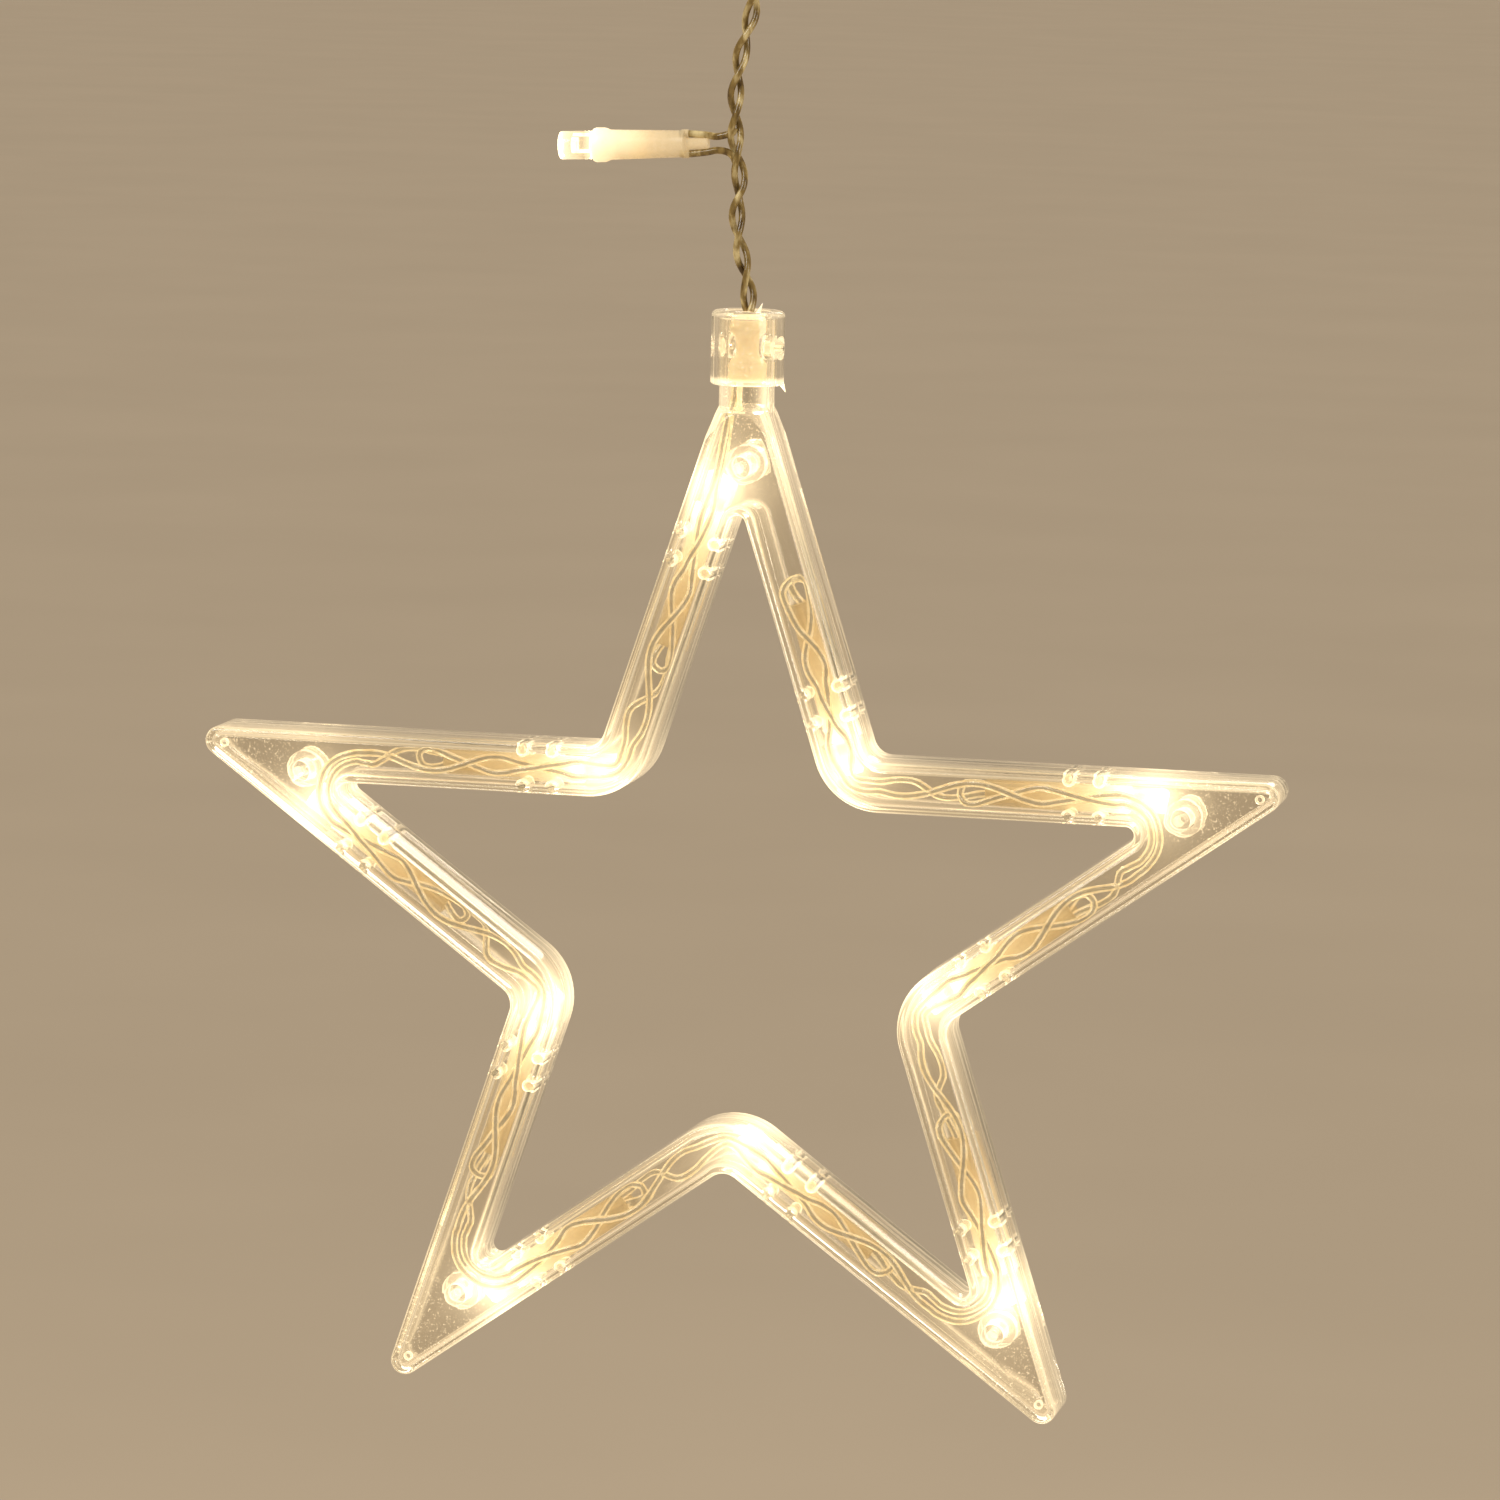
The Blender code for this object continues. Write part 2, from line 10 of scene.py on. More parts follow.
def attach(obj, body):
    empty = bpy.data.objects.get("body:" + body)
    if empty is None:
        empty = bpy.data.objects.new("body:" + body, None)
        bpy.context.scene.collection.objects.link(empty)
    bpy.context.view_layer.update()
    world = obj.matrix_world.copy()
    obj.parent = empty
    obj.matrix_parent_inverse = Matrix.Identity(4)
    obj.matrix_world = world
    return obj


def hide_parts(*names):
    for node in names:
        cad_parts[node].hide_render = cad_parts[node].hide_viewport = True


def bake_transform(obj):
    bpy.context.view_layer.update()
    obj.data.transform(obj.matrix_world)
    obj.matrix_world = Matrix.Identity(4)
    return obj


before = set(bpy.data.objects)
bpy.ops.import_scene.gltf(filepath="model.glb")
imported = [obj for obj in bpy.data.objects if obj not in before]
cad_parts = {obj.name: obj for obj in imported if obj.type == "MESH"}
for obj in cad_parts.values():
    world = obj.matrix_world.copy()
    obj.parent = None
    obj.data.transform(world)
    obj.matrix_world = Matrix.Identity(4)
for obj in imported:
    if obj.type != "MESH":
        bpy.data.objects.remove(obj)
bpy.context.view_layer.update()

# Star, as in the frame
star_height = -0.192795
star_centre = Vector((0, 0, star_height))
star_points = 5
tip_angles = [math.pi / 2 + 2 * math.pi * point / star_points for point in range(star_points)]
full_reach = 0.108414
half_tip = math.pi / (2 * star_points)
side_distance = full_reach * math.sin(half_tip)
bend_share = math.cos(2 * math.pi / star_points) / math.cos(math.pi / star_points)
arm_width = 0.009
shell_depth = 0.006
wall = 0.0012
face_sheet = 0.0012
tip_round = 0.0026
bend_round = 0.0035
window_tip_round = 0.0015
window_bend_round = 0.012
rim_round = 0.0008
hollow_round = 0.0009
seam_chamfer = 0.00032
seam_overlap = 0.0001
clearance = 0.0006
overrun = 0.002
fine_weld = 0.000002

# Bosses, posts, marks in the tips, neck and cap
boss_reach = 0.084295
socket_diameter = 0.0067
socket_front = -0.001
pin_diameter = 0.004
pin_rear = 0.003
post_diameter = 0.0024
post_core = 0.0015
post_side = 0.0032
post_front_end = -0.0004
post_back_start = 0.0036
post_first = 0.0106
post_pitch = 0.0054
tip_mark_reach = 0.099
tip_mark_diameter = 0.0016
tip_mark_core = 0.0009
neck_diameter = 0.0098
neck_bore = 0.007
neck_root = 0.004
shoulder_height = 0.094995
neck_height = 0.110295
cap_low = 0.098795
cap_high = 0.111795
cap_diameter = 0.013
cap_mouth = 0.0084
cap_gap = 0.0003
cap_round = 0.0009
peg_height = 0.105295
peg_diameter = 0.0042
peg_end = 0.0026
peg_core = 0.0012
peg_core_length = 0.0034
peg_haze = 0.45
glue_low = 0.0993
glue_high = 0.1116

# Lamps and wires
lamp_depth = 0.0016
tip_lamp_start = 0.0128
bend_lamp_start = 0.0015
lamp_length = 0.0316
bulb_length = 0.0281
chip_inset = 0.002
wire_diameter = 0.0013
core_diameter = 0.00038
wire_depth = -0.0031
pair_pitch = 0.026
tip_stretch = 0.0205
bend_stretch = 0.0055
pair_apart = 0.00085
pair_depth = 0.0008
pair_step = 0.0026
route_step = 0.0005
star_route_step = 0.0008

# Lead
lead_top = -0.0242
junction = Vector((-0.0029, 0, -0.0518))
lead_bottom = -0.0811
strand_diameter = 0.0012
strand_apart = 0.00089
strand_pitch = 0.0142
strand_start = 0.6
bulb_reach = 0.0037
bulb_lip = bulb_reach + 0.0052
bare_steps = 9
bulb_droop = math.radians(2.5)
bulb_towards = Vector((-math.cos(bulb_droop), 0, -math.sin(bulb_droop)))

# How the photograph was taken
camera_distance = 1.134
camera_azimuth = math.radians(13.2)
camera_elevation = math.radians(10.0)
camera_roll = math.radians(1.2)
camera_lens = 152.4
star_low_in_frame = math.atan(186 / 6350)
star_left_in_frame = math.atan(14.6 / 6350)

# How the lamps light what is near them: their colour, and how much depth counts
warm_white = (1.0, 0.8, 0.5)
depth_share = 0.4

floor_height = -0.78
floor_radius = 90


def placed(name, data):
    """A new object in the scene."""
    obj = bpy.data.objects.new(name, data)
    bpy.context.scene.collection.objects.link(obj)
    return obj


def place_camera():
    back = Vector((
        math.sin(camera_azimuth) * math.cos(camera_elevation),
        -math.cos(camera_azimuth) * math.cos(camera_elevation),
        math.sin(camera_elevation),
    ))
    camera = placed("camera", bpy.data.cameras.new("camera"))
    camera.data.lens = camera_lens
    camera.data.sensor_width = 36
    camera.data.clip_start = 0.05
    camera.data.clip_end = 200
    look = (-back).to_track_quat("-Z", "Y").to_matrix().to_4x4()
    turn = Matrix.Rotation(camera_roll, 4, "Z") @ Matrix.Rotation(star_low_in_frame, 4, "X")
    turn = turn @ Matrix.Rotation(-star_left_in_frame, 4, "Y")
    camera.matrix_world = Matrix.Translation(star_centre + back * camera_distance) @ look @ turn
    bpy.context.scene.camera = camera


def light(name, place, size, power, colour):
    """A round lamp that faces the star."""
    lamp = bpy.data.lights.new(name, "AREA")
    lamp.shape = "DISK"
    lamp.size = size
    lamp.energy = power
    lamp.color = colour
    look = (star_centre - Vector(place)).to_track_quat("-Z", "Y").to_matrix().to_4x4()
    placed(name, lamp).matrix_world = Matrix.Translation(place) @ look


# Materials

class Finish:
    """A material or node group under way: its nodes, and short ways to add and feed them."""

    def __init__(self, name="", tree=None):
        if tree is None:
            self.material = bpy.data.materials.new(name)
            self.material.use_nodes = True
            tree = self.material.node_tree
            self.shader = tree.nodes["Principled BSDF"]
        self.nodes, self.links = tree.nodes, tree.links
        self.where = self.put("TexCoord").outputs["Object"]

    def put(self, kind, feeds=None, **settings):
        """A new node with its settings, and with what feeds its inputs."""
        node = self.nodes.new("ShaderNode" + kind)
        for key, value in settings.items():
            setattr(node, key, value)
        return self.feed(node, feeds or {})

    def feed(self, node, feeds):
        """Joins or sets a node's inputs, given by name or number."""
        for key, value in feeds.items():
            if isinstance(value, bpy.types.NodeSocket):
                self.links.new(value, node.inputs[key])
            else:
                node.inputs[key].default_value = value
        return node

    def surface(self, feeds):
        """The finished material, its shader fed."""
        self.feed(self.shader, feeds)
        return self.material

    def math(self, operation, *values):
        return self.put("Math", dict(enumerate(values)), operation=operation).outputs[0]

    def plus(self, *values):
        return reduce(lambda total, value: self.math("ADD", total, value), values)

    def times(self, *values):
        return reduce(lambda total, value: self.math("MULTIPLY", total, value), values)

    def split(self, vector):
        return self.put("SeparateXYZ", {0: vector}).outputs

    def noted(self, name):
        """A number that was noted on the mesh."""
        return self.put("Attribute", attribute_name=name).outputs["Fac"]

    def noise(self, scale, detail, vector=None):
        vector = self.where if vector is None else vector
        return self.put("TexNoise", {"Vector": vector, "Scale": scale, "Detail": detail}).outputs["Fac"]

    def grey_ramp(self, value, low, high, from_low=0.0, from_high=1.0):
        ends = {"From Min": from_low, "From Max": from_high, "To Min": low, "To Max": high}
        return self.put("MapRange", {"Value": value, **ends}).outputs["Result"]

    def patchy(self, scale, low, high):
        """A value that wanders between two others over the surface."""
        return self.grey_ramp(self.noise(scale, 2), low, high)

    def ramp(self, value, stops):
        """Colours along a value, from (position, red, green, blue)."""
        node = self.put("ValToRGB", {"Fac": value})
        elements = node.color_ramp.elements
        while len(elements) < len(stops):
            elements.new(0.5)
        for element, (position, *colour) in zip(elements, stops):
            element.position = position
            element.color = (*colour, 1)
        return node.outputs["Color"]

    def warm(self, value):
        """The lamps' colour, as strong as the value."""
        feeds = {"Factor": value, 6: (0, 0, 0, 1), 7: (*warm_white, 1)}
        return self.put("Mix", feeds, data_type="RGBA", clamp_factor=False).outputs[2]

    def uneven(self, ripple, speckle, share, strength, distance):
        """The normal of a moulded surface."""
        sizes = {"Ripple size": ripple, "Speckle size": speckle, "Speckle share": share}
        height = self.put("Group", sizes, node_tree=moulded).outputs["Height"]
        feeds = {"Height": height, "Strength": strength, "Distance": distance}
        return self.put("Bump", feeds).outputs["Normal"]


def number_group(name, inputs, *outputs):
    """A node group of plain numbers: the group, its maker, what it is given, and where its results go."""
    group = bpy.data.node_groups.new(name, "ShaderNodeTree")
    for socket, value in inputs.items():
        taken = group.interface.new_socket(socket, in_out="INPUT", socket_type="NodeSocketFloat")
        taken.default_value = value
    for socket in outputs:
        group.interface.new_socket(socket, in_out="OUTPUT", socket_type="NodeSocketFloat")
    given, result = group.nodes.new("NodeGroupInput").outputs, group.nodes.new("NodeGroupOutput")
    return group, Finish(tree=group), given, result


def lamp_light_group():
    """How near a place in the star is to one of its ten lamps, from Object coordinates."""
    group, made, given, result = number_group("lamp light", {"Reach": 0.01}, "Glow", "Tip share")
    across, depth, height = made.split(made.where)
    up = made.math("SUBTRACT", height, star_height)
    angle = made.math("SUBTRACT", made.math("ARCTAN2", up, across), math.pi / 2)
    folded = made.math("WRAP", angle, 3 * half_tip, -half_tip)
    reach = made.math("SQRT", made.plus(made.times(across, across), made.times(up, up)))
    place = made.put("CombineXYZ", {
        0: made.times(reach, made.times(made.math("SINE", folded), -1.0)),
        1: made.times(depth, depth_share),
        2: made.times(reach, made.math("COSINE", folded)),
    }).outputs[0]
    places = [arm.at(arm.lamp_start + chip_inset, 0, lamp_depth) for arm in arms[:2]]
    tip_lamp, bend_lamp = (place - star_centre for place in places)
    glows = []
    for lamp in (tip_lamp, bend_lamp, Matrix.Rotation(4 * half_tip, 3, "Y") @ bend_lamp):
        spot = lamp.x, lamp.y * depth_share, lamp.z
        away = made.put("VectorMath", {0: place, 1: spot}, operation="DISTANCE").outputs["Value"]
        nearness = made.math("DIVIDE", away, given["Reach"])
        glows.append(made.math("EXPONENT", made.times(nearness, -1.0)))
    made.feed(result, {"Glow": made.plus(*glows), "Tip share": made.grey_ramp(reach, 0.0, 1.0, 0.078, 0.09)})
    return group


def moulded_group():
    """The slight unevenness of a moulded surface: flow ripples and fine speckle, as one height."""
    sizes = {"Ripple size": 0.006, "Speckle size": 0.0005, "Speckle share": 0.3}
    group, made, given, result = number_group("moulded surface", sizes, "Height")
    ripple = made.noise(made.math("DIVIDE", 1.0, given["Ripple size"]), 1.0)
    speckle = made.noise(made.math("DIVIDE", 1.0, given["Speckle size"]), 2.0)
    made.feed(result, {"Height": made.plus(ripple, made.times(speckle, given["Speckle share"]))})
    return group


def mould_line_glow_group():
    """Fine mould lines that run round the star's side walls at set depths, as a mask along which the finish
    paints the lamps' glow brighter.
    """
    group, made, given, result = number_group("mould line glow", {"Line size": 0.0006}, "Lines")
    drift = made.times(made.noise(90, 2), 0.0008)
    depth = made.math("DIVIDE", made.plus(made.split(made.where)[1], drift), given["Line size"])
    lines = made.put("TexNoise", {"W": depth, "Scale": 1.0, "Detail": 2.0}, noise_dimensions="1D")
    made.feed(result, {"Lines": made.grey_ramp(lines.outputs["Fac"], 0.0, 1.0, 0.46, 0.66)})
    return group


def clear_plastic_finish(
    name, face_axis, wall_level, rim_level, end_level, neck_level, foot_level, post_level, ring_level,
):
    """Clear moulded plastic: its faces stay clear, and the lamps' light on its rims, walls and posts is
    painted on as glow.
    """
    made = Finish(name)
    facing = made.math("ABSOLUTE", made.split(made.put("TexCoord").outputs["Normal"])[face_axis])
    light = made.put("Group", {"Reach": 0.0055}, node_tree=lamp_light).outputs
    near, tip_share = light["Glow"], light["Tip share"]
    # Mould lines, along which the walls' painted glow runs brighter.
    lines = made.put("Group", {"Line size": 0.0007}, node_tree=mould_line_glow).outputs["Lines"]
    height = made.split(made.where)[2]
    depth = made.math("ABSOLUTE", made.split(made.where)[1])
    foot = star_height + cap_low

    # All that follows is painted light: the lamps' glow on walls, rims, posts, tips and faces, fed to
    # Emission Color.
    wall_share = made.grey_ramp(facing, 1.0, 0.0, 0.2, 0.5)
    on_wall = made.math("MULTIPLY_ADD", near, 0.58 * wall_level, 0.035 * wall_level)
    on_wall = made.plus(on_wall, made.times(tip_share, 0.13 * wall_level))
    on_wall = made.times(on_wall, made.plus(lines, 0.35), wall_share)
    rim_share = made.math("POWER", made.times(made.math("MULTIPLY_ADD", facing, -4.0, 4.0), facing), 2.0)
    on_rim = made.times(rim_share, made.math("MULTIPLY_ADD", near, 0.68 * rim_level, 0.25 * rim_level))
    on_rim = made.times(on_rim, made.grey_ramp(height, 1.0, neck_level, foot - 0.0005, foot + 0.001))
    root_ring = made.grey_ramp(depth, 0.0, ring_level, 0.0032, 0.004)
    end_ring = made.grey_ramp(depth, ring_level, 0.0, 0.0007, 0.0012)
    post = made.noted("post")
    on_post = made.times(post, made.plus(root_ring, end_ring, post_level))
    # Painted glints: bright specks of glow on the tips' faces.
    painted_glints = made.grey_ramp(made.noise(2100, 1), 0.0, 0.5, 0.66, 0.74)
    on_tip = made.times(painted_glints, tip_share, facing)
    on_face = made.times(made.plus(made.math("POWER", near, 2.0), end_level), facing)

    lit = [on_wall, on_rim, on_post, on_tip, on_face]
    roughness = made.patchy(900, 0.01, 0.1)
    if foot_level:
        # A painted highlight: a band of glow round the cap's foot.
        lit.append(made.grey_ramp(height, foot_level, 0.0, foot + 0.0008, foot + 0.0014))
        roughness = made.plus(roughness, made.times(post, peg_haze))
    return made.surface({
        "Base Color": (1.0, 0.97, 0.9, 1), "IOR": 1.5, "Transmission Weight": 1.0, "Emission Strength": 1.0,
        "Emission Color": made.warm(made.plus(*lit)), "Roughness": roughness,
        "Normal": made.uneven(0.009, 0.0006, 0.1, 0.35, 0.0002),
    })


def head_finish(name, level, transmission):
    """The clear resin of a lamp's head, full of its own light."""
    made = Finish(name)
    return made.surface({
        "Base Color": (1.0, 0.94, 0.8, 1), "IOR": 1.5, "Transmission Weight": transmission,
        "Emission Strength": level,
        "Emission Color": made.ramp(made.noted("along"), (
            (0.0, 1.0, 0.88, 0.64), (0.04, 0.5, 0.42, 0.28), (0.12, 0.3, 0.23, 0.13),
            (0.16, 0.14, 0.1, 0.05), (0.21, 0.9, 0.75, 0.48),
        )),
        "Roughness": made.patchy(800, 0.03, 0.15), "Normal": made.uneven(0.002, 0.0003, 0.1, 0.2, 0.0001),
    })


def sleeve_finish():
    """A milky sleeve that glows from its lamp's end and clears towards its wires' end."""
    made = Finish("milky sleeve")
    along = made.plus(made.noted("along"), made.grey_ramp(made.noise(420, 3), -0.05, 0.05))
    return made.surface({
        "Base Color": made.ramp(along, (
            (0.2, 0.98, 0.92, 0.76), (0.45, 0.93, 0.82, 0.58), (0.75, 0.88, 0.74, 0.49),
            (1.0, 0.8, 0.66, 0.42),
        )),
        "Emission Color": made.ramp(along, (
            (0.2, 1.4, 1.2, 0.85), (0.36, 0.55, 0.45, 0.28), (0.55, 0.26, 0.2, 0.11),
            (0.8, 0.17, 0.125, 0.06), (1.0, 0.13, 0.095, 0.045),
        )),
        "Emission Strength": 1.0, "Alpha": made.grey_ramp(along, 0.93, 0.52, 0.62, 0.84), "IOR": 1.45,
        "Roughness": made.patchy(900, 0.18, 0.38), "Normal": made.uneven(0.002, 0.0004, 0.4, 0.25, 0.0001),
    })


def jacket_finish(name, tones_with_highlights, transmission, glow_level, streak):
    """A wire's clear jacket, yellowed, with dark flecks and painted highlights that streak draws out up and
    down.
    """
    made = Finish(name)
    drawn = made.put("VectorMath", {0: made.where, 1: (1, 1, streak)}, operation="MULTIPLY").outputs[0]
    # The lightest tone is a painted highlight.
    stops = [(position, *tone) for position, tone in zip((0.34, 0.5, 0.66), tones_with_highlights)]
    glow = {}
    if glow_level:
        near = made.put("Group", {"Reach": 0.009}, node_tree=lamp_light).outputs["Glow"]
        lit = made.warm(made.math("MULTIPLY_ADD", near, glow_level, 0.23))
        glow = {"Emission Color": lit, "Emission Strength": 1.0}
    return made.surface({
        "Base Color": made.ramp(made.noise(520, 3, drawn), stops), "IOR": 1.5,
        "Transmission Weight": transmission, "Roughness": made.patchy(900, 0.04, 0.2),
        "Normal": made.uneven(0.0015, 0.0003, 0.2, 0.5, 0.0001), **glow,
    })


def copper_finish():
    """Fine stranded copper, darkened inside its jacket."""
    made = Finish("dark copper")
    tone = made.ramp(made.noise(1500, 2), (
        (0.3, 0.035, 0.018, 0.005), (0.6, 0.09, 0.05, 0.016), (0.85, 0.24, 0.14, 0.05),
    ))
    return made.surface({"Base Color": tone, "Metallic": 0.5, "Roughness": made.patchy(2500, 0.35, 0.6)})


def glue_finish():
    """Hot glue, milky and lit from below."""
    made = Finish("milky glue")
    low = star_height + glue_low
    from_below = made.grey_ramp(made.split(made.where)[2], 0.16, 0.0, low, low + 0.007)
    return made.surface({
        "Base Color": made.ramp(made.noise(350, 4), (
            (0.3, 0.9, 0.72, 0.45), (0.6, 0.97, 0.84, 0.6), (0.8, 1.0, 0.92, 0.74),
        )),
        "Subsurface Weight": 0.5, "Subsurface Radius": (0.004, 0.003, 0.0015), "Subsurface Scale": 1.0,
        "Emission Color": made.warm(made.plus(made.patchy(300, 0.34, 0.54), from_below)),
        "Emission Strength": 1.0, "IOR": 1.46, "Roughness": made.patchy(600, 0.25, 0.5),
        "Normal": made.uneven(0.0025, 0.0005, 0.3, 0.6, 0.0003),
    })


def glowing_finish():
    """The lit chip and its cup inside a lamp's head."""
    made = Finish("lit chip")
    lit = made.ramp(made.noise(900, 2), ((0.3, 0.9, 0.74, 0.46), (0.7, 1.7, 1.5, 1.05)))
    return made.surface({
        "Base Color": (0.9, 0.85, 0.6, 1), "Roughness": 0.3, "Emission Color": lit, "Emission Strength": 1.0,
    })


def floor_finish():
    made = Finish("pale floor")
    tone = made.ramp(made.noise(3, 3), ((0.3, 0.5, 0.405, 0.29), (0.7, 0.52, 0.422, 0.303)))
    return made.surface({"Base Color": tone, "Roughness": 0.9})


# Shapes

def on_star(reach, angle):
    """A place in the star's middle plane, by its distance and direction from the star's centre."""
    return Vector((reach * math.cos(angle), 0, star_height + reach * math.sin(angle)))


class Arm:
    """One of the ten arms, counted from the top tip towards -X, with places given along its centreline."""

    def __init__(self, index):
        reach = full_reach * (side_distance - arm_width / 2) / side_distance
        self.start, self.end = (
            on_star(reach * (bend_share if corner % 2 else 1), math.pi / 2 + math.pi * corner / star_points)
            for corner in (index, index + 1)
        )
        self.length = (self.end - self.start).length
        self.direction = (self.end - self.start).normalized()
        self.inward = Vector((self.direction.z, 0, -self.direction.x))
        if self.inward.dot(star_centre - self.start) < 0:
            self.inward.negate()
        self.from_tip = index % 2 == 0
        self.lamp_start = tip_lamp_start if self.from_tip else bend_lamp_start

    def at(self, along, side, depth):
        return self.start + self.direction * along + self.inward * side + Vector((0, depth, 0))


arms = [Arm(index) for index in range(2 * star_points)]


def show(name, mesh, material, body, slot, *nodes, smooth=35):
    """A finished piece: its mesh, finish, body and the CAD nodes that it stands for. Its slot is not used."""
    mesh.name = name
    mesh.materials.clear()
    mesh.materials.append(material)
    mesh.shade_smooth()
    mesh.set_sharp_from_angle(angle=math.radians(smooth))
    piece = placed(name, mesh)
    if body:
        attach(piece, body)
    if nodes:
        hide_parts(*nodes)
    return piece


def mesh_from(shape, name):
    mesh = bpy.data.meshes.new(name)
    shape.to_mesh(mesh)
    shape.free()
    return mesh


@contextmanager
def opened(mesh):
    """The mesh as a bmesh to work on, which goes back into it at the end."""
    shape = bmesh.new()
    shape.from_mesh(mesh)
    yield shape
    shape.to_mesh(mesh)
    shape.free()


def settled(obj, weld=0.00001):
    """The object's final mesh with loose doubles merged. The object itself is removed."""
    bpy.context.view_layer.update()
    mesh = bpy.data.meshes.new_from_object(obj.evaluated_get(bpy.context.evaluated_depsgraph_get()))
    bpy.data.objects.remove(obj)
    with opened(mesh) as shape:
        bmesh.ops.remove_doubles(shape, verts=shape.verts, dist=weld)
        bmesh.ops.recalc_face_normals(shape, faces=shape.faces)
    mesh.materials.clear()
    return mesh


def arc(centre, radius, start, end, steps):
    for step in range(steps + 1):
        angle = start + (end - start) * step / steps
        yield centre[0] + radius * math.cos(angle), centre[1] + radius * math.sin(angle)


def star_outline(inset, tip_radius, bend_radius):
    reach = full_reach * (side_distance - inset) / side_distance
    outline = []
    tip_half = math.pi / 2 - half_tip
    bend_half = math.pi / 2 - 3 * half_tip
    for tip_angle in tip_angles:
        centre_reach = reach - tip_radius / math.sin(half_tip)
        centre = centre_reach * math.cos(tip_angle), centre_reach * math.sin(tip_angle)
        outline += arc(centre, tip_radius, tip_angle - tip_half, tip_angle + tip_half, 14)
        bend_angle = tip_angle + math.pi / star_points
        bend_reach = reach * bend_share + bend_radius / math.cos(bend_half)
        centre = bend_reach * math.cos(bend_angle), bend_reach * math.sin(bend_angle)
        back = bend_angle + math.pi
        outline += arc(centre, bend_radius, back + bend_half, back - bend_half, 12)
    return outline


def new_curve(name, dimensions, bevel, resolution, routes, closed=False):
    """A curve object with a straight-edged spline through each route's points."""
    curve = bpy.data.curves.new(name, "CURVE")
    curve.dimensions = dimensions
    curve.bevel_depth = bevel
    curve.bevel_resolution = resolution
    for route in routes:
        spline = curve.splines.new("POLY")
        spline.points.add(len(route) - 1)
        for point, place in zip(spline.points, route):
            point.co = (*place, 1)
        spline.use_cyclic_u = closed
    return placed(name, curve)


def ring(outlines, half_depth, rounding):
    """A flat ring between two outlines, standing in the XZ plane at the star's height."""
    flat = [[(x, z, 0) for x, z in outline] for outline in outlines]
    obj = new_curve("ring", "2D", rounding, 2, flat, closed=True)
    obj.data.fill_mode = "BOTH"
    obj.data.extrude = half_depth - rounding
    obj.data.offset = -rounding
    mesh = settled(obj)
    mesh.transform(Matrix.Translation((0, 0, star_height)) @ Matrix.Rotation(math.pi / 2, 4, "X"))
    return mesh


def tubes(routes, diameter, resolution=3):
    """Round wires along the routes, as one mesh with closed ends."""
    obj = new_curve("tubes", "3D", diameter / 2, resolution, routes)
    obj.data.use_fill_caps = True
    return settled(obj)


def rods(spans, steps, round_over=0.0, taper=1.0):
    """Cylinders from (start, end, diameter), in one mesh, their rims rounded over or their ends tapered."""
    shape = bmesh.new()
    for start, end, diameter in spans:
        start, end = Vector(start), Vector(end)
        turn = (end - start).to_track_quat("Z", "Y").to_matrix().to_4x4()
        bmesh.ops.create_cone(
            shape, cap_ends=True, segments=steps, radius1=diameter / 2, radius2=diameter / 2 * taper,
            depth=(end - start).length, matrix=Matrix.Translation((start + end) / 2) @ turn,
        )
    if round_over:
        rims = sharp_edges(shape.edges)
        bmesh.ops.bevel(
            shape, geom=rims, offset=round_over, affect="EDGES", segments=2, profile=0.5, material=-1,
        )
    return mesh_from(shape, "rods")


def spike(span):
    """A small pointed piece of flash or glue."""
    return rods([span], 12, taper=0.1)


def sharp_edges(edges):
    return [e for e in edges if len(e.link_faces) == 2 and e.calc_face_angle() > math.radians(60)]


def add_block(shape, low, high):
    size, middle = Vector(high) - Vector(low), (Vector(high) + Vector(low)) / 2
    corners = bmesh.ops.create_cube(shape, size=1)["verts"]
    place = Matrix.Translation(middle) @ Matrix.Diagonal((*size, 1))
    bmesh.ops.transform(shape, matrix=place, verts=corners)


def block(low, high):
    shape = bmesh.new()
    add_block(shape, low, high)
    return mesh_from(shape, "block")


def shaped(mesh, *steps):
    """A mesh after a run of joins and cuts, each given as (operation, mesh)."""
    work = placed("work", mesh)
    helpers = []
    for operation, tool in steps:
        helpers.append(placed("tool", tool))
        modifier = work.modifiers.new(operation, "BOOLEAN")
        modifier.operation = operation
        modifier.object = helpers[-1]
        modifier.solver = "EXACT"
    mesh = settled(work, fine_weld)
    for helper in helpers:
        bpy.data.objects.remove(helper)
    return mesh


def in_mm(*points, base=0.0):
    """Profile points from millimetres, their heights counted from the base."""
    return [(radius / 1000, base + height / 1000) for radius, height in points]


def turned(profile, steps=48):
    """A turned mesh about Z from (radius, height) points that run down its outer side."""
    shape = bmesh.new()
    rim = [shape.verts.new((r, 0, h)) for r, h in profile]
    edges = [shape.edges.new(pair) for pair in zip(rim, rim[1:])]
    bmesh.ops.spin(
        shape, geom=rim + edges, axis=(0, 0, 1), cent=(0, 0, 0), angle=2 * math.pi, steps=steps,
        use_merge=True,
    )
    bmesh.ops.remove_doubles(shape, verts=shape.verts, dist=fine_weld)
    bmesh.ops.recalc_face_normals(shape, faces=shape.faces)
    return mesh_from(shape, "turned")


def smooth_route(points, spacing):
    """Points at about even spacing on a smooth curve through the given ones."""
    points = [Vector(p) for p in points]
    ends = [2 * points[0] - points[1], *points, 2 * points[-1] - points[-2]]
    route = [points[0]]
    for a, b, c, d in zip(ends, ends[1:], ends[2:], ends[3:]):
        steps = max(1, round((c - b).length / spacing))
        for step in range(1, steps + 1):
            t = step / steps
            square, cube = 2 * a - 5 * b + 4 * c - d, 3 * b - a - 3 * c + d
            route.append((2 * b + (c - a) * t + square * t ** 2 + cube * t ** 3) / 2)
    return route


def note_posts(mesh, belongs):
    """Notes on the mesh which faces belong to posts, bosses or pegs, for the finish to brighten."""
    with opened(mesh) as shape:
        on_post = shape.faces.layers.float.new("post")
        for face in shape.faces:
            if belongs(face.calc_center_median(), face.normal):
                face[on_post] = 1.0


# The star's two shells

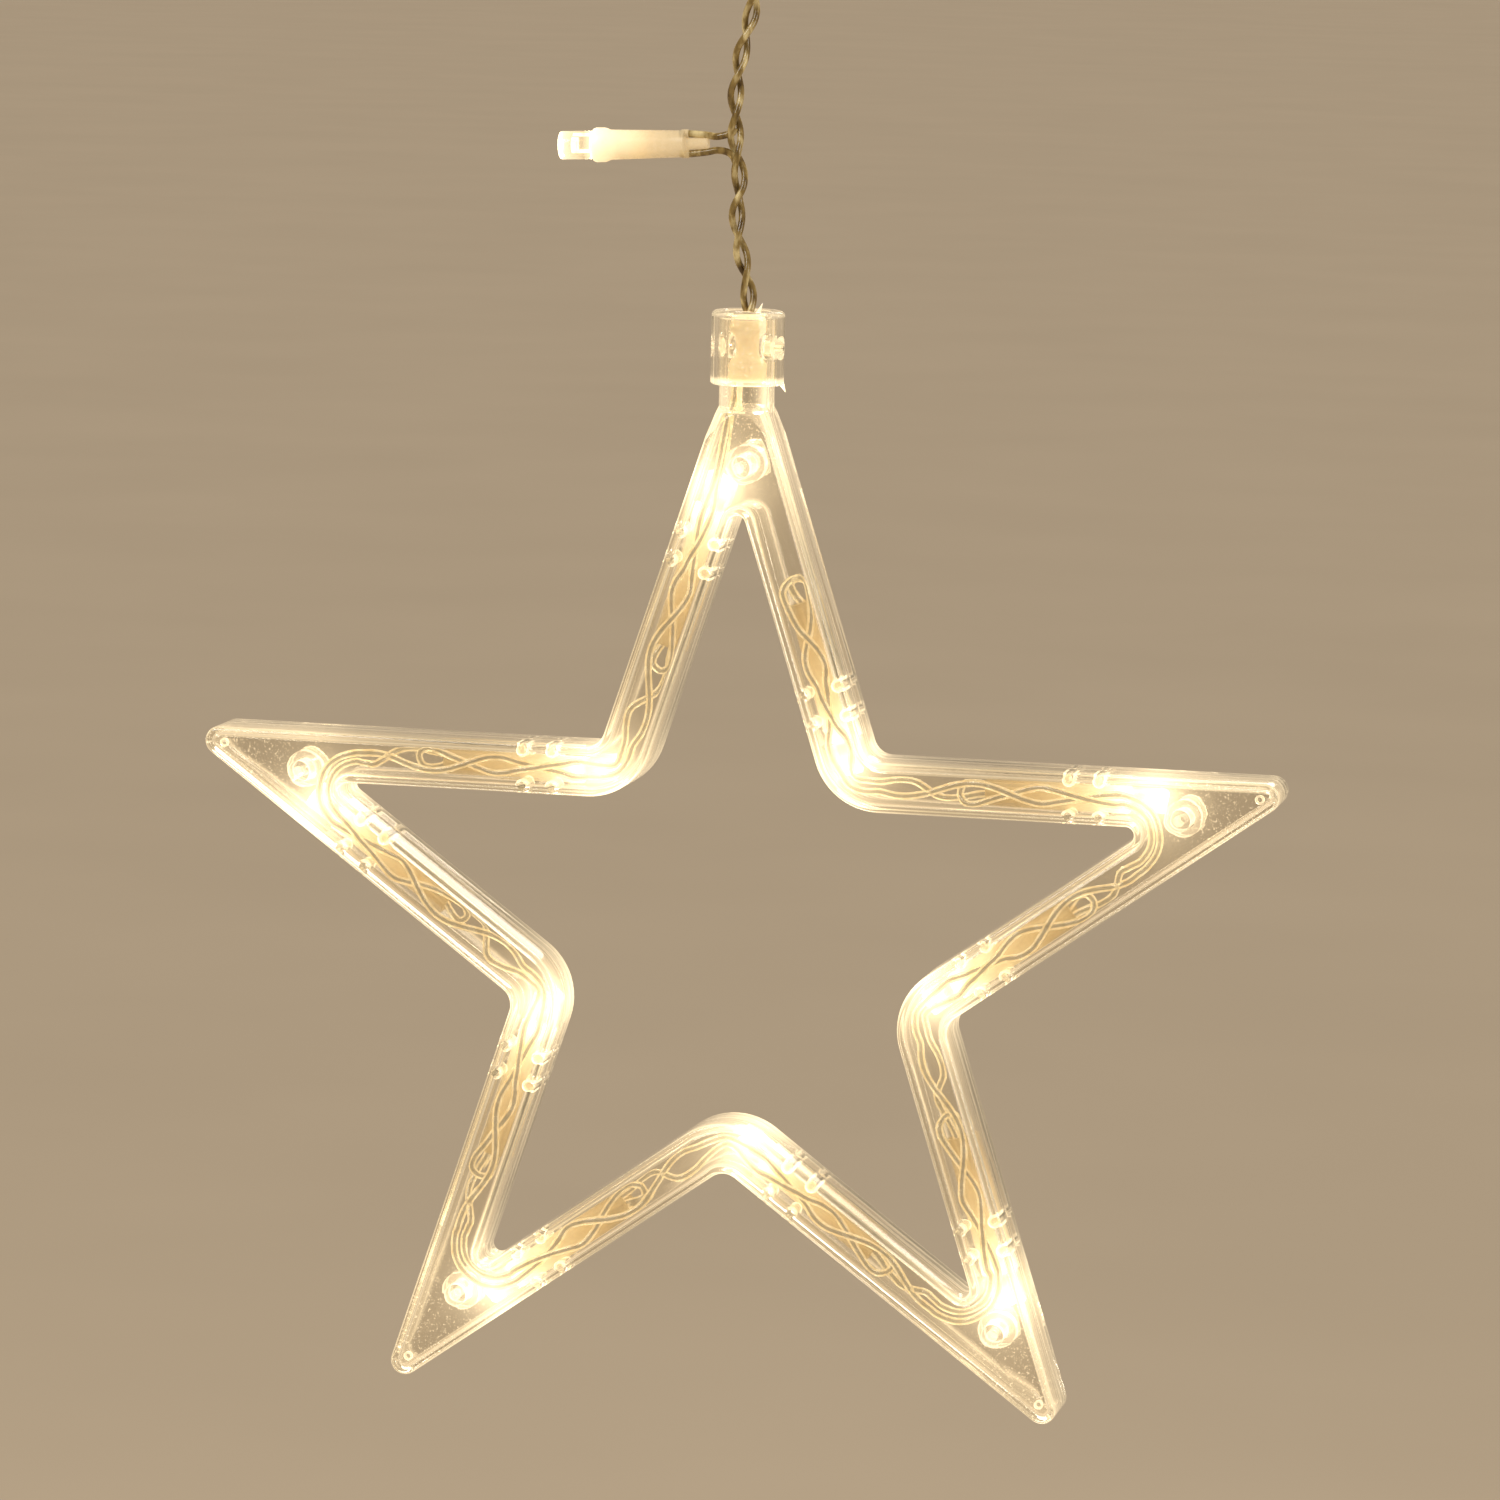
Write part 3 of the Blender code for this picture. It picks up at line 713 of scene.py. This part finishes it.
def make_shells():
    outer = star_outline(0, tip_round, bend_round)
    window = star_outline(arm_width, window_tip_round, window_bend_round)
    deep, wide, half = shell_depth + overrun, full_reach + overrun, neck_diameter
    shoulder, top = star_height + shoulder_height, star_height + full_reach + overrun
    neck_low, neck_top = shoulder - neck_root, star_height + neck_height
    low, high = star_height - wide, neck_top + overrun
    peg_z = star_height + peg_height
    rear_half = (-wide, -seam_overlap, low), (wide, deep, high)
    front_half = (-wide, -deep, low), (wide, seam_overlap, high)
    front, back, axes = fittings()
    for name, node, spans, facets, beyond in (
        ("front_case", "front_shell", front, (16, 12, 24, 20), rear_half),
        ("back_case", "back_shell", back, (16, 12, 32, 28), front_half),
    ):
        steps = [
            ("DIFFERENCE", block((-half, -deep, shoulder), (half, deep, top))),
            ("DIFFERENCE", shoulder_trim()),
            ("UNION", rods([((0, 0, neck_low), (0, 0, neck_top), neck_diameter)], 48)),
            ("DIFFERENCE", hollow_mesh(half, deep, top)),
            ("DIFFERENCE", rods([((0, 0, neck_low - overrun), (0, 0, high), neck_bore)], 40)),
            ("DIFFERENCE", rods([((-half, 0, peg_z), (half, 0, peg_z), peg_diameter + clearance)], 24)),
            ("DIFFERENCE", block(*beyond)),
        ]
        for operation, rod_spans, count in zip(("UNION", "DIFFERENCE") * 2, spans, facets):
            steps.append((operation, rods(rod_spans, count)))
        mesh = shaped(ring((outer, window), shell_depth, rim_round), *steps)
        chamfer_seam(mesh)
        note_posts(mesh, lambda place, normal: on_fitting(place, normal, axes))
        show(name, mesh, clear_plastic, "star", "clear_plastic", node)


def fittings():
    """Both shells' rods, as posts, their cores, bosses and their cores, and the axes of them all."""
    front, back, axes = [[], [], [], []], [[], [], [], []], []
    sheet, floor = shell_depth - face_sheet / 2, shell_depth - face_sheet
    post = (
        (front[0], -sheet, post_front_end, post_diameter),
        (front[1], -floor, post_front_end + overrun, post_core),
        (back[0], post_back_start, sheet, post_diameter),
        (back[1], post_back_start - overrun, floor, post_core),
    )
    boss = (
        (front[2], -sheet, pin_rear, pin_diameter),
        (front[3], -floor, pin_rear + overrun, pin_diameter / 2),
        (back[2], socket_front, sheet, socket_diameter),
        (back[3], socket_front - overrun, floor, pin_diameter + clearance),
    )
    tip_mark = (
        (front[0], -sheet, -floor + 0.0006, tip_mark_diameter),
        (front[1], -floor, 0, tip_mark_core),
    )

    def fit(kind, spot, *diameters):
        for spans, start, end, diameter in kind:
            spans.append((spot + Vector((0, start, 0)), spot + Vector((0, end, 0)), diameter))
        for diameter in diameters:
            axes.append((spot, diameter / 2))

    for arm in arms:
        for row in range(2):
            for side in (-post_side, post_side):
                along = arm.lamp_start + post_first + post_pitch * row
                fit(post, arm.at(along, side, 0), post_diameter)
    for point, angle in enumerate(tip_angles):
        fit(boss, on_star(boss_reach, angle), socket_diameter, pin_diameter)
        if point:
            fit(tip_mark, on_star(tip_mark_reach, angle), tip_mark_diameter)
    return front, back, axes


def on_fitting(place, normal, axes):
    """Whether a face is on the side or the end of a post or boss."""
    if abs(place.y) > shell_depth - face_sheet - 0.00002:
        return False
    sunk, slack = 0.0001, 0.00018
    for axis, radius in axes:
        away = math.hypot(place.x - axis.x, place.z - axis.z)
        if (abs(normal.y) > 0.9 and away < radius) or abs(away - radius + sunk) < slack:
            return True
    return False


def shoulder_trim():
    """What comes off the top tip's corners, so that it runs over into the round neck."""
    top = star_height + shoulder_height
    start = neck_diameter / 2 + 0.00005, top + 0.0002
    return turned([start, *in_mm((6, -1.2), (9.4, -8), (13, -8), (13, 0.2), base=top), start], 64)


def hollow_mesh(half, deep, top):
    outer = star_outline(wall, tip_round - wall, bend_round + wall)
    window = star_outline(arm_width - wall, window_tip_round + wall, window_bend_round - wall)
    floor = star_height + shoulder_height - face_sheet
    hollow = ring((outer, window), shell_depth - face_sheet, hollow_round)
    return shaped(hollow, ("DIFFERENCE", block((-half, -deep, floor), (half, deep, top))))


def chamfer_seam(mesh):
    """Breaks the outer edges where the shells meet, which leaves a fine groove along the seam."""
    with opened(mesh) as shape:
        seam = sharp_edges(e for e in shape.edges if all(abs(v.co.y) < 0.00015 for v in e.verts))
        bmesh.ops.bevel(
            shape, geom=seam, offset=seam_chamfer, affect="EDGES", segments=1, profile=0.5, material=-1,
            clamp_overlap=True,
        )


# Lamps

def with_along(mesh, length):
    """Notes on the mesh how far each point is down the lamp, from its nose at 0 to its wires' end at 1."""
    along = mesh.attributes.new("along", "FLOAT", "POINT")
    along.data.foreach_set("value", [min(1.0, max(0.0, -v.co.z / length)) for v in mesh.vertices])
    return mesh


def head_mesh(length):
    return with_along(turned(in_mm(
        (0, -1.2), (1.2, -0.6), (1.8, -0.05), (1.9, 0), (2.2, 0), (2.4, -0.08), (2.5, -0.3), (2.5, -2),
        (2.5, -4), (2.5, -5.6), (2.4, -5.8), (1.8, -5.8), (1.8, -7.6), (0, -7.6),
    ), 40), length)


def sleeve_mesh(length):
    end = -length
    body = in_mm(
        (0, -8.2), (2.1, -8.2), (2.1, -6.1), (2.6, -6.1), (2.85, -6.2), (2.95, -6.4), (2.95, -8.4),
        (2.88, -8.8), (2.8, -9.1),
    )
    body += [(0.0028, -0.0091 + (end + 0.0091) * share) for share in (0.15, 0.3, 0.45, 0.6, 0.75, 0.9)]
    body += in_mm((2.78, 0.2), (2.6, 0), (2.2, 0), (2.1, 0.2), (2.1, 7), (0, 7), base=end)
    return with_along(turned(body, 36), length)


def tongue_sleeve_mesh(length):
    """The lead lamp's sleeve, which tapers to a lip and ends in a tongue between its two wires."""
    lip, end = 0.0052 - length, 0.0012 - length
    body = in_mm(
        (0, -8.2), (2.1, -8.2), (2.1, -6.1), (2.6, -6.1), (2.9, -6.2), (3.05, -6.6), (3.05, -8.1),
        (2.9, -8.6), (2.65, -9.2),
    )
    for share in (0.2, 0.4, 0.6, 0.8, 0.95):
        body.append((0.00265 - 0.0003 * share, -0.0092 + (lip + 0.0092) * share))
    body += in_mm((2.45, 0.5), (2.45, 0.2), (2.2, 0), (1.2, -0.1), (1.05, -0.4), base=lip)
    body += in_mm((1.05, 0.2), (0.9, 0), (0, 0), base=end)
    spans = [((x, 0, lip - 0.0005), (x, 0, lip + 0.0009), 0.0017) for x in (-0.00168, 0.00168)]
    return with_along(shaped(turned(body, 36), ("UNION", rods(spans, 20, 0.0002))), -0.88 * lip)


def chip_mesh():
    """The cup, chip and two legs inside the head."""
    mesh = turned(in_mm((0, -2.7), (0.6, -2.7), (0.8, -2.2), (0.9, -2.2), (0.9, -3.4), (0, -3.4)), 20)
    with opened(mesh) as shape:
        for x, top in ((-0.0007, -0.0032), (0.0013, -0.0024)):
            add_block(shape, (x - 0.0002, -0.0002, -0.0056), (x + 0.0002, 0.0002, top))
    return mesh


def make_lamps():
    for number, arm in enumerate(arms, 1):
        name, nose = f"{number:02d}", arm.at(arm.lamp_start, 0, lamp_depth)
        nodes = f"lamp_lens_{name}", f"lamp_sleeve_{name}"
        lamp("lamp", name, nose, -arm.direction, lamp_length, "star", nodes, sleeve_mesh, star_resin)
    nose = junction + bulb_towards * (bulb_reach + bulb_length)
    nodes, sleeve = ("bulb_lens", "bulb_sleeve"), tongue_sleeve_mesh
    lamp("bulb", "on_lead", nose, bulb_towards, bulb_length, "lead_lamp", nodes, sleeve, bulb_resin)


def lamp(kind, name, nose, towards, length, body, nodes, sleeve, resin):
    turn = Matrix.Translation(nose) @ Matrix.Rotation(math.atan2(towards.x, towards.z), 4, "Y")
    for part, mesh, finish, slot, replaced in (
        ("head", head_mesh(length), resin, "lamp_clear", nodes[:1]),
        ("sleeve", sleeve(length), milky_sleeve, "milky_sleeve", nodes[1:]),
        ("chip", chip_mesh(), lit_chip, "lamp_clear", ()),
    ):
        mesh.transform(turn)
        show(f"{kind}_{part}_{name}", mesh, finish, body, slot, *replaced)


# Wires inside the star

def twist_at(arm, along, turn, spread):
    """Where a wire of the pair lies over a lamp: to one side of its partner, then in front of it."""
    post_near = min(abs(along - arm.lamp_start - post_first - post_pitch * row) for row in range(2))
    tip_near = (along if arm.from_tip else arm.length - along) - tip_stretch
    free = min(1.0, max(0.0, (post_near - 0.001) / 0.004), max(0.0, tip_near / 0.007))
    side = (pair_apart + spread * free) * math.cos(turn)
    return arm.at(along, side, wire_depth + pair_depth * math.sin(turn))


def pair_turn(index, along):
    """How far the pair has twisted, which keeps the through wire outside at a tip and inside at a bend."""
    arm = arms[index]
    twist = 2 * math.pi * (along - arm.lamp_start - post_first - post_pitch / 2) / pair_pitch
    return math.pi / 2 + (-twist if arm.from_tip else twist) + 0.15 * math.sin(5.1 * index)


def over_lamp(index, phase, first, last):
    """Points of one wire of the pair along an arm, between two places on it."""
    spread = 0.0009 + 0.0003 * math.sin(3.7 * index)
    steps = max(2, round((last - first) / pair_step))
    places = [first + (last - first) * i / steps for i in range(steps + 1)]
    return [twist_at(arms[index], place, pair_turn(index, place) + phase, spread) for place in places]


def round_tip(after, side, top_reach, depth):
    """A wire's arc round a tip, which keeps the given side of both arms' middles."""
    out = (after.start - star_centre).normalized()
    across = Vector((out.z, 0, -out.x))
    if across.dot(after.direction) < 0:
        across.negate()
    apex = (after.start - star_centre).length - side / math.sin(half_tip)
    radius = (apex - top_reach) / (1 / math.sin(half_tip) - 1)
    points = []
    for angle in (-66, -40, -14, 14, 40, 66):
        turn = math.radians(angle)
        place = out * (top_reach - radius + radius * math.cos(turn)) + across * radius * math.sin(turn)
        points.append(star_centre + place + Vector((0, depth, 0)))
    return points


def corner(index, phase):
    """How a wire goes from arm index - 1 into arm index."""
    before, after = arms[index - 1], arms[index]
    if after.from_tip:
        side, reach, depth = (0.0007, 0.0787, -0.0026) if phase > 0 else (-0.0008, 0.0803, -0.0034)
        return round_tip(after, side, reach, depth)
    side, depth = (-0.0009, wire_depth + 0.0007) if phase > 0 else (0.0009, wire_depth - 0.0007)
    ease = bend_stretch / 2
    before_bend, after_bend = before.at(before.length - ease, side, depth), after.at(ease, side, depth)
    bend = (before.at(before.length, side, depth) + after.at(0, side, depth)) / 2
    return [before_bend, (before_bend + after_bend) * 0.225 + bend * 0.55, after_bend]


def past_sleeve(arm, side, places):
    """Points from (along, across, depth) in millimetres, along counted from the sleeve's open end."""
    end = arm.lamp_start + lamp_length
    return [arm.at(end + along / 1000, side * across / 1000, y / 1000) for along, across, y in places]


def into_lamp(arm, side):
    """A wide turn past the sleeve's open end and back into it, starting on the given side."""
    return past_sleeve(arm, side, (
        (1.2, 2.2, -2.7), (3.2, 2.1, -2), (4.4, 0.7, -1), (3.8, -1.1, -0.3), (2, -1.5, 0.9),
        (-0.6, -0.8, 1.6), (-3, -0.7, 1.6), (-6.6, -0.7, 1.6),
    ))


def out_of_lamp(arm, side):
    return past_sleeve(arm, side, (
        (-6.6, 0.7, 1.6), (-3, 0.7, 1.6), (1.2, 0.9, 1.6), (4.8, 1.6, 1), (8.2, 1.4, -0.8),
    ))


def from_neck(depth_in_neck, depth, side):
    top = star_height + 0.0999
    return [
        (-0.0019, depth_in_neck, top),
        (-0.002, depth_in_neck, top - 0.0035),
        (-0.0026, depth_in_neck * 1.4 - 0.0008, top - 0.0075),
        arms[0].at(0.0095, side, depth),
        arms[0].at(0.013, side * 0.6, depth),
    ]


def loop_side(arm):
    """The side of the arm on which its link wire reaches the sleeve's end."""
    return 1 if arm.from_tip else -1


def star_routes():
    """The through wire, which passes every lamp, and the ten that link lamp to lamp."""
    through = from_neck(-0.0008, -0.0038, -0.0008)
    links = []
    for index, arm in enumerate(arms):
        start = bend_stretch
        if arm.from_tip:
            start = tip_stretch if index else tip_lamp_start + 0.0045
        stop = arm.lamp_start + lamp_length - 0.001
        leave = arm.length - (bend_stretch if arm.from_tip else tip_stretch)
        if index:
            through += corner(index, 0)
        through += over_lamp(index, 0, start, stop if index == len(arms) - 1 else leave)
        if index == 0:
            link = from_neck(0.0008, -0.0022, -0.0004)
        else:
            before = arms[index - 1]
            link = out_of_lamp(before, loop_side(before))
            first = before.lamp_start + lamp_length + 0.0118
            last = before.length - (bend_stretch if before.from_tip else tip_stretch)
            if last > first:
                link += over_lamp(index - 1, math.pi, first, last)
            link += corner(index, math.pi)
        link += over_lamp(index, math.pi, start, stop - 0.001)
        link += into_lamp(arm, loop_side(arm))
        links.append(link)
    through = through[:-1] + into_lamp(arms[-1], -loop_side(arms[-1]))
    return [smooth_route(route, star_route_step) for route in [through, *links]]


def show_wires(name, mesh, finish, body, *nodes):
    return show(name, mesh, finish, body, "clear_wire", *nodes, smooth=60)


def make_star_wires():
    routes = star_routes()
    show_wires("through_wire_jacket", tubes(routes[:1], wire_diameter), star_jacket, "star", "through_wire")
    for number, route in enumerate(routes[1:], 1):
        piece, node = f"link_jacket_{number:02d}", f"link_wire_{number:02d}"
        show_wires(piece, tubes([route], wire_diameter), star_jacket, "star", node)
    show_wires("star_wire_copper", tubes(routes, core_diameter, 1), dark_copper, "star")


# Lead, its lamp's wires, and the hook

def lead_centre():
    """The lead's middle line, by how far it strays to the sides between its ends and the lamp."""
    upper = (0.0, -0.0004, -0.0013, -0.0022, -0.0028, -0.0031, -0.003, -0.0029)
    lower = (-0.0029, -0.0023, -0.002, -0.0024, -0.0023, -0.0017, -0.0008, -0.0001, 0.0)
    points = []
    for strays, high, low in ((upper, lead_top, junction.z), (lower, junction.z - 0.0003, lead_bottom)):
        run = [(x, 0, high + (low - high) * i / (len(strays) - 1)) for i, x in enumerate(strays)]
        points += run[1:] if points else run
    return smooth_route(points, route_step)


def make_lead():
    centre = lead_centre()
    strands, travelled = [[], []], 0.0
    for index, place in enumerate(centre):
        ahead = centre[min(index + 1, len(centre) - 1)] - centre[max(index - 1, 0)]
        along = ahead.normalized()
        if index:
            travelled += (place - centre[index - 1]).length
        across = Vector((0, 1, 0)).cross(along).normalized()
        turn = 2 * math.pi * travelled / strand_pitch + strand_start
        side = across * math.cos(turn) + Vector((0, 1, 0)) * math.sin(turn)
        strands[0].append(place + side * strand_apart)
        strands[1].append(place - side * strand_apart)
    mesh = tubes(strands, strand_diameter, 4)
    lead = show_wires("twisted_lead", mesh, lead_jacket, None, "upper_lead", "lower_lead")
    copper = show_wires("twisted_lead_copper", tubes(strands, core_diameter, 1), dark_copper, None)
    for piece in (lead, copper):
        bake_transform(piece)


def make_bulb_wires():
    """The two wires that leave the side lamp on both sides of its tongue and turn into the lead."""
    towards, lip = bulb_towards, bulb_lip
    up = Vector((-math.sin(bulb_droop), 0, math.cos(bulb_droop)))
    routes = []
    for side, rise in ((1, 0.0027), (-1, 0.0034)):
        places = (
            (lip + 0.0012, 0.00172), (lip - 0.0008, 0.00174), (lip - 0.0036, 0.0015), (0.0034, 0.0012),
            (0.0016, 0.0015), (0.0006, 0.66 * rise), (0.0001, rise),
        )
        route = [junction + towards * out + up * high * side for out, high in places]
        routes.append(smooth_route(route, route_step))
    jackets = show_wires("bulb_jackets", tubes(routes, wire_diameter), lead_jacket, None, "bulb_wires")
    cores = tubes([route[:-bare_steps] for route in routes], core_diameter, 1)
    copper = show_wires("bulb_copper", cores, dark_copper, None)
    for piece in (jackets, copper):
        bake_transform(piece)


def make_cap():
    low, high = star_height + cap_low, star_height + cap_high
    outer, inner, mouth = cap_diameter / 2, neck_diameter / 2 + cap_gap, cap_mouth / 2
    ledge, peg_z = star_height + neck_height + cap_gap, star_height + peg_height
    profile = [(inner, low), (inner, ledge), (mouth, ledge), (mouth, high - 0.0002), (mouth + 0.0002, high)]
    for angle in (0, 0.4, 0.8, 1.2, math.pi / 2):
        across, up = cap_round * math.sin(angle), cap_round * math.cos(angle)
        profile.append((outer - cap_round + across, high - cap_round + up))
    profile += [(outer, low + 0.0003), (outer - 0.0003, low), (inner, low)]
    pegs, cores = [], []
    for side in (-1, 1):
        pegs.append(((side * (outer - wall / 2), 0, peg_z), (side * peg_end, 0, peg_z), peg_diameter))
        hole = side * (outer + overrun), side * (outer - peg_core_length)
        cores.append(((hole[0], 0, peg_z), (hole[1], 0, peg_z), peg_core))
    nib = (outer - 0.0002, -0.0004, low + 0.0004), (outer + 0.0007, -0.0008, low - 0.0011), 0.001
    mesh = shaped(
        turned(profile, 64), ("UNION", rods(pegs, 28, 0.0003)), ("DIFFERENCE", rods(cores, 16)),
        ("UNION", spike(nib)),
    )

    def on_peg(place, normal):
        away = math.hypot(place.y, place.z - peg_z)
        within = math.hypot(place.x, place.y) < outer - 0.0002
        return within and 0.0009 < away < peg_diameter / 2 + 0.0001

    note_posts(mesh, on_peg)
    show("clear_cap", mesh, cap_plastic, "star", "clear_plastic", "neck_cap")


def make_glue():
    """The waisted plug of glue, its surface uneven as it set, with a drip below and a whisker on top."""
    low, high, peg_z = star_height + glue_low, star_height + glue_high, star_height + peg_height
    profile = in_mm((0, 0), (1.2, -0.05), (2.2, -0.4), (2.8, -1.1), (3.2, -2), base=high)
    profile += in_mm(
        (3.4, 3.4), (3.1, 2.6), (2.4, 1.9), (2, 1.1), (2, -1.1), (2.4, -1.8), (3.05, -2.5), (3.45, -3.1),
        base=peg_z,
    )
    mesh = turned(profile + in_mm((3.25, 0.2), (2.65, 0), (0, 0), base=low), 48)
    for vertex in mesh.vertices:
        turn = math.atan2(vertex.co.y, vertex.co.x)
        pull = 0.045 * math.sin(3 * turn + 900 * vertex.co.z) + 0.03 * math.sin(5 * turn - 1500 * vertex.co.z)
        vertex.co.x *= 1 + min(0.0, 0.6 * pull)
        vertex.co.y *= 1 + min(0.0, 0.6 * pull)
    drip = turned(in_mm(
        (0, 6.5), (0.6, 6.5), (0.45, 5), (0.4, 2.5), (0.5, 1.6), (0.95, 1.3), (1.05, 1), (0.9, 0.5),
        (0.5, 0.1), (0, 0),
    ), 20)
    drip.transform(Matrix.Translation((-0.0007, -0.0021, low - 0.006)))
    whisker = (0.0018, -0.0012, high - 0.0008), (0.0028, -0.0012, high + 0.0016), 0.0011
    mesh = shaped(mesh, ("UNION", drip), ("UNION", spike(whisker)))
    show("glue_in_neck", mesh, milky_glue, "star", "milky_glue", "glue_plug", smooth=60)


def make_hook():
    rod, centre_z, radius, shank_end, top, bottom = 0.002, -0.0033, 0.0042, -0.0164, -0.0119, -0.0239
    points = [(0, 0, shank_end), (0, 0, shank_end + 0.003), (0, 0, centre_z - radius - 0.0032)]
    points += [(x, 0, z) for x, z in arc((0, centre_z), radius, -math.pi / 4, math.radians(205), 14)]
    mesh = tubes([smooth_route(points, route_step)], rod, 6)
    show("hook_rod", mesh, cap_plastic, "hanger", "clear_plastic", "hanging_hook", smooth=60)
    profile = in_mm((0, -0.3), (1.3, -0.3), base=shank_end)
    profile += in_mm((1.3, -0.2), (1.5, 0), (2.1, 0), (2.5, -0.2), (2.6, -0.6), (2.6, -3.5), base=top)
    profile += in_mm(
        (2.6, 3.5), (2.6, 0.6), (2.5, 0.2), (2.3, 0), (2, 0.1), (1.7, 0.8), (0, 1), base=bottom,
    )
    mesh = turned(profile, 40)
    along = mesh.attributes.new("along", "FLOAT", "POINT")
    along.data.foreach_set("value", [0.8] * len(mesh.vertices))
    show("hook_sleeve", mesh, milky_sleeve, "hanger", "milky_sleeve", "top_sleeve")


def make_stage():
    shape = bmesh.new()
    middle = Matrix.Translation((0, 0, floor_height))
    bmesh.ops.create_circle(shape, cap_ends=True, segments=96, radius=floor_radius, matrix=middle)
    floor = placed("floor", mesh_from(shape, "floor"))
    floor.data.materials.append(floor_finish())
    world = bpy.data.worlds.new("studio")
    bpy.context.scene.world = world
    world.use_nodes = True
    light_sky(world.node_tree)
    light("key", (-0.9, -1.1, 0.9), 0.9, 14, (1.0, 0.95, 0.88))
    light("side", (1.2, -0.7, 0.2), 0.7, 6, (1.0, 0.93, 0.84))
    light("rear", (0.2, 1.3, 0.7), 0.8, 4, (1.0, 0.92, 0.8))


def light_sky(tree):
    """A sky that lights evenly, and that glass and the camera see in the floor's own tone."""
    lit = tree.nodes["Background"]
    lit.inputs["Color"].default_value = (1.0, 0.94, 0.85, 1)
    lit.inputs["Strength"].default_value = 0.78
    kinds = "Background", "MixShader", "LightPath"
    seen, mix, path = (tree.nodes.new("ShaderNode" + kind) for kind in kinds)
    seen.inputs["Color"].default_value = (0.45, 0.355, 0.245, 1)
    total = path.outputs["Is Camera Ray"]
    for ray in ("Is Glossy Ray", "Is Transmission Ray"):
        more = tree.nodes.new("ShaderNodeMath")
        more.use_clamp = True
        tree.links.new(total, more.inputs[0])
        tree.links.new(path.outputs[ray], more.inputs[1])
        total = more.outputs[0]
    for socket, source in enumerate((total, lit.outputs[0], seen.outputs[0])):
        tree.links.new(source, mix.inputs[socket])
    tree.links.new(mix.outputs[0], tree.nodes["World Output"].inputs["Surface"])


lamp_light = lamp_light_group()
moulded = moulded_group()
mould_line_glow = mould_line_glow_group()
clear_plastic = clear_plastic_finish(
    "clear polystyrene", face_axis=1, wall_level=1.0, rim_level=1.0, end_level=0.0, neck_level=0.12,
    foot_level=0, post_level=0.07, ring_level=0.55,
)
cap_plastic = clear_plastic_finish(
    "clear cap plastic", face_axis=2, wall_level=0.3, rim_level=0.6, end_level=0.12, neck_level=1.0,
    foot_level=0.28, post_level=0.22, ring_level=0.0,
)
star_resin = head_finish("flooded head resin", level=1.1, transmission=0.55)
bulb_resin = head_finish("clear head resin", level=0.75, transmission=0.92)
milky_sleeve = sleeve_finish()
lit_tones = (0.66, 0.52, 0.24), (0.88, 0.77, 0.5), (0.98, 0.93, 0.76)
star_jacket = jacket_finish("lit wire jacket", lit_tones, transmission=0.72, glow_level=0.4, streak=1.0)
# The lead's jacket tones: dark, mid, and a painted highlight.
lead_tones_with_highlights = (0.1, 0.055, 0.012), (0.34, 0.23, 0.07), (0.9, 0.74, 0.38)
lead_jacket = jacket_finish("wire jacket", lead_tones_with_highlights, transmission=0.35, glow_level=0.0, streak=0.4)
dark_copper = copper_finish()
milky_glue = glue_finish()
lit_chip = glowing_finish()

place_camera()
make_lead()
make_shells()
make_lamps()
make_star_wires()
make_bulb_wires()
make_cap()
make_glue()
make_hook()
make_stage()
bpy.context.scene.view_settings.view_transform = "Standard"
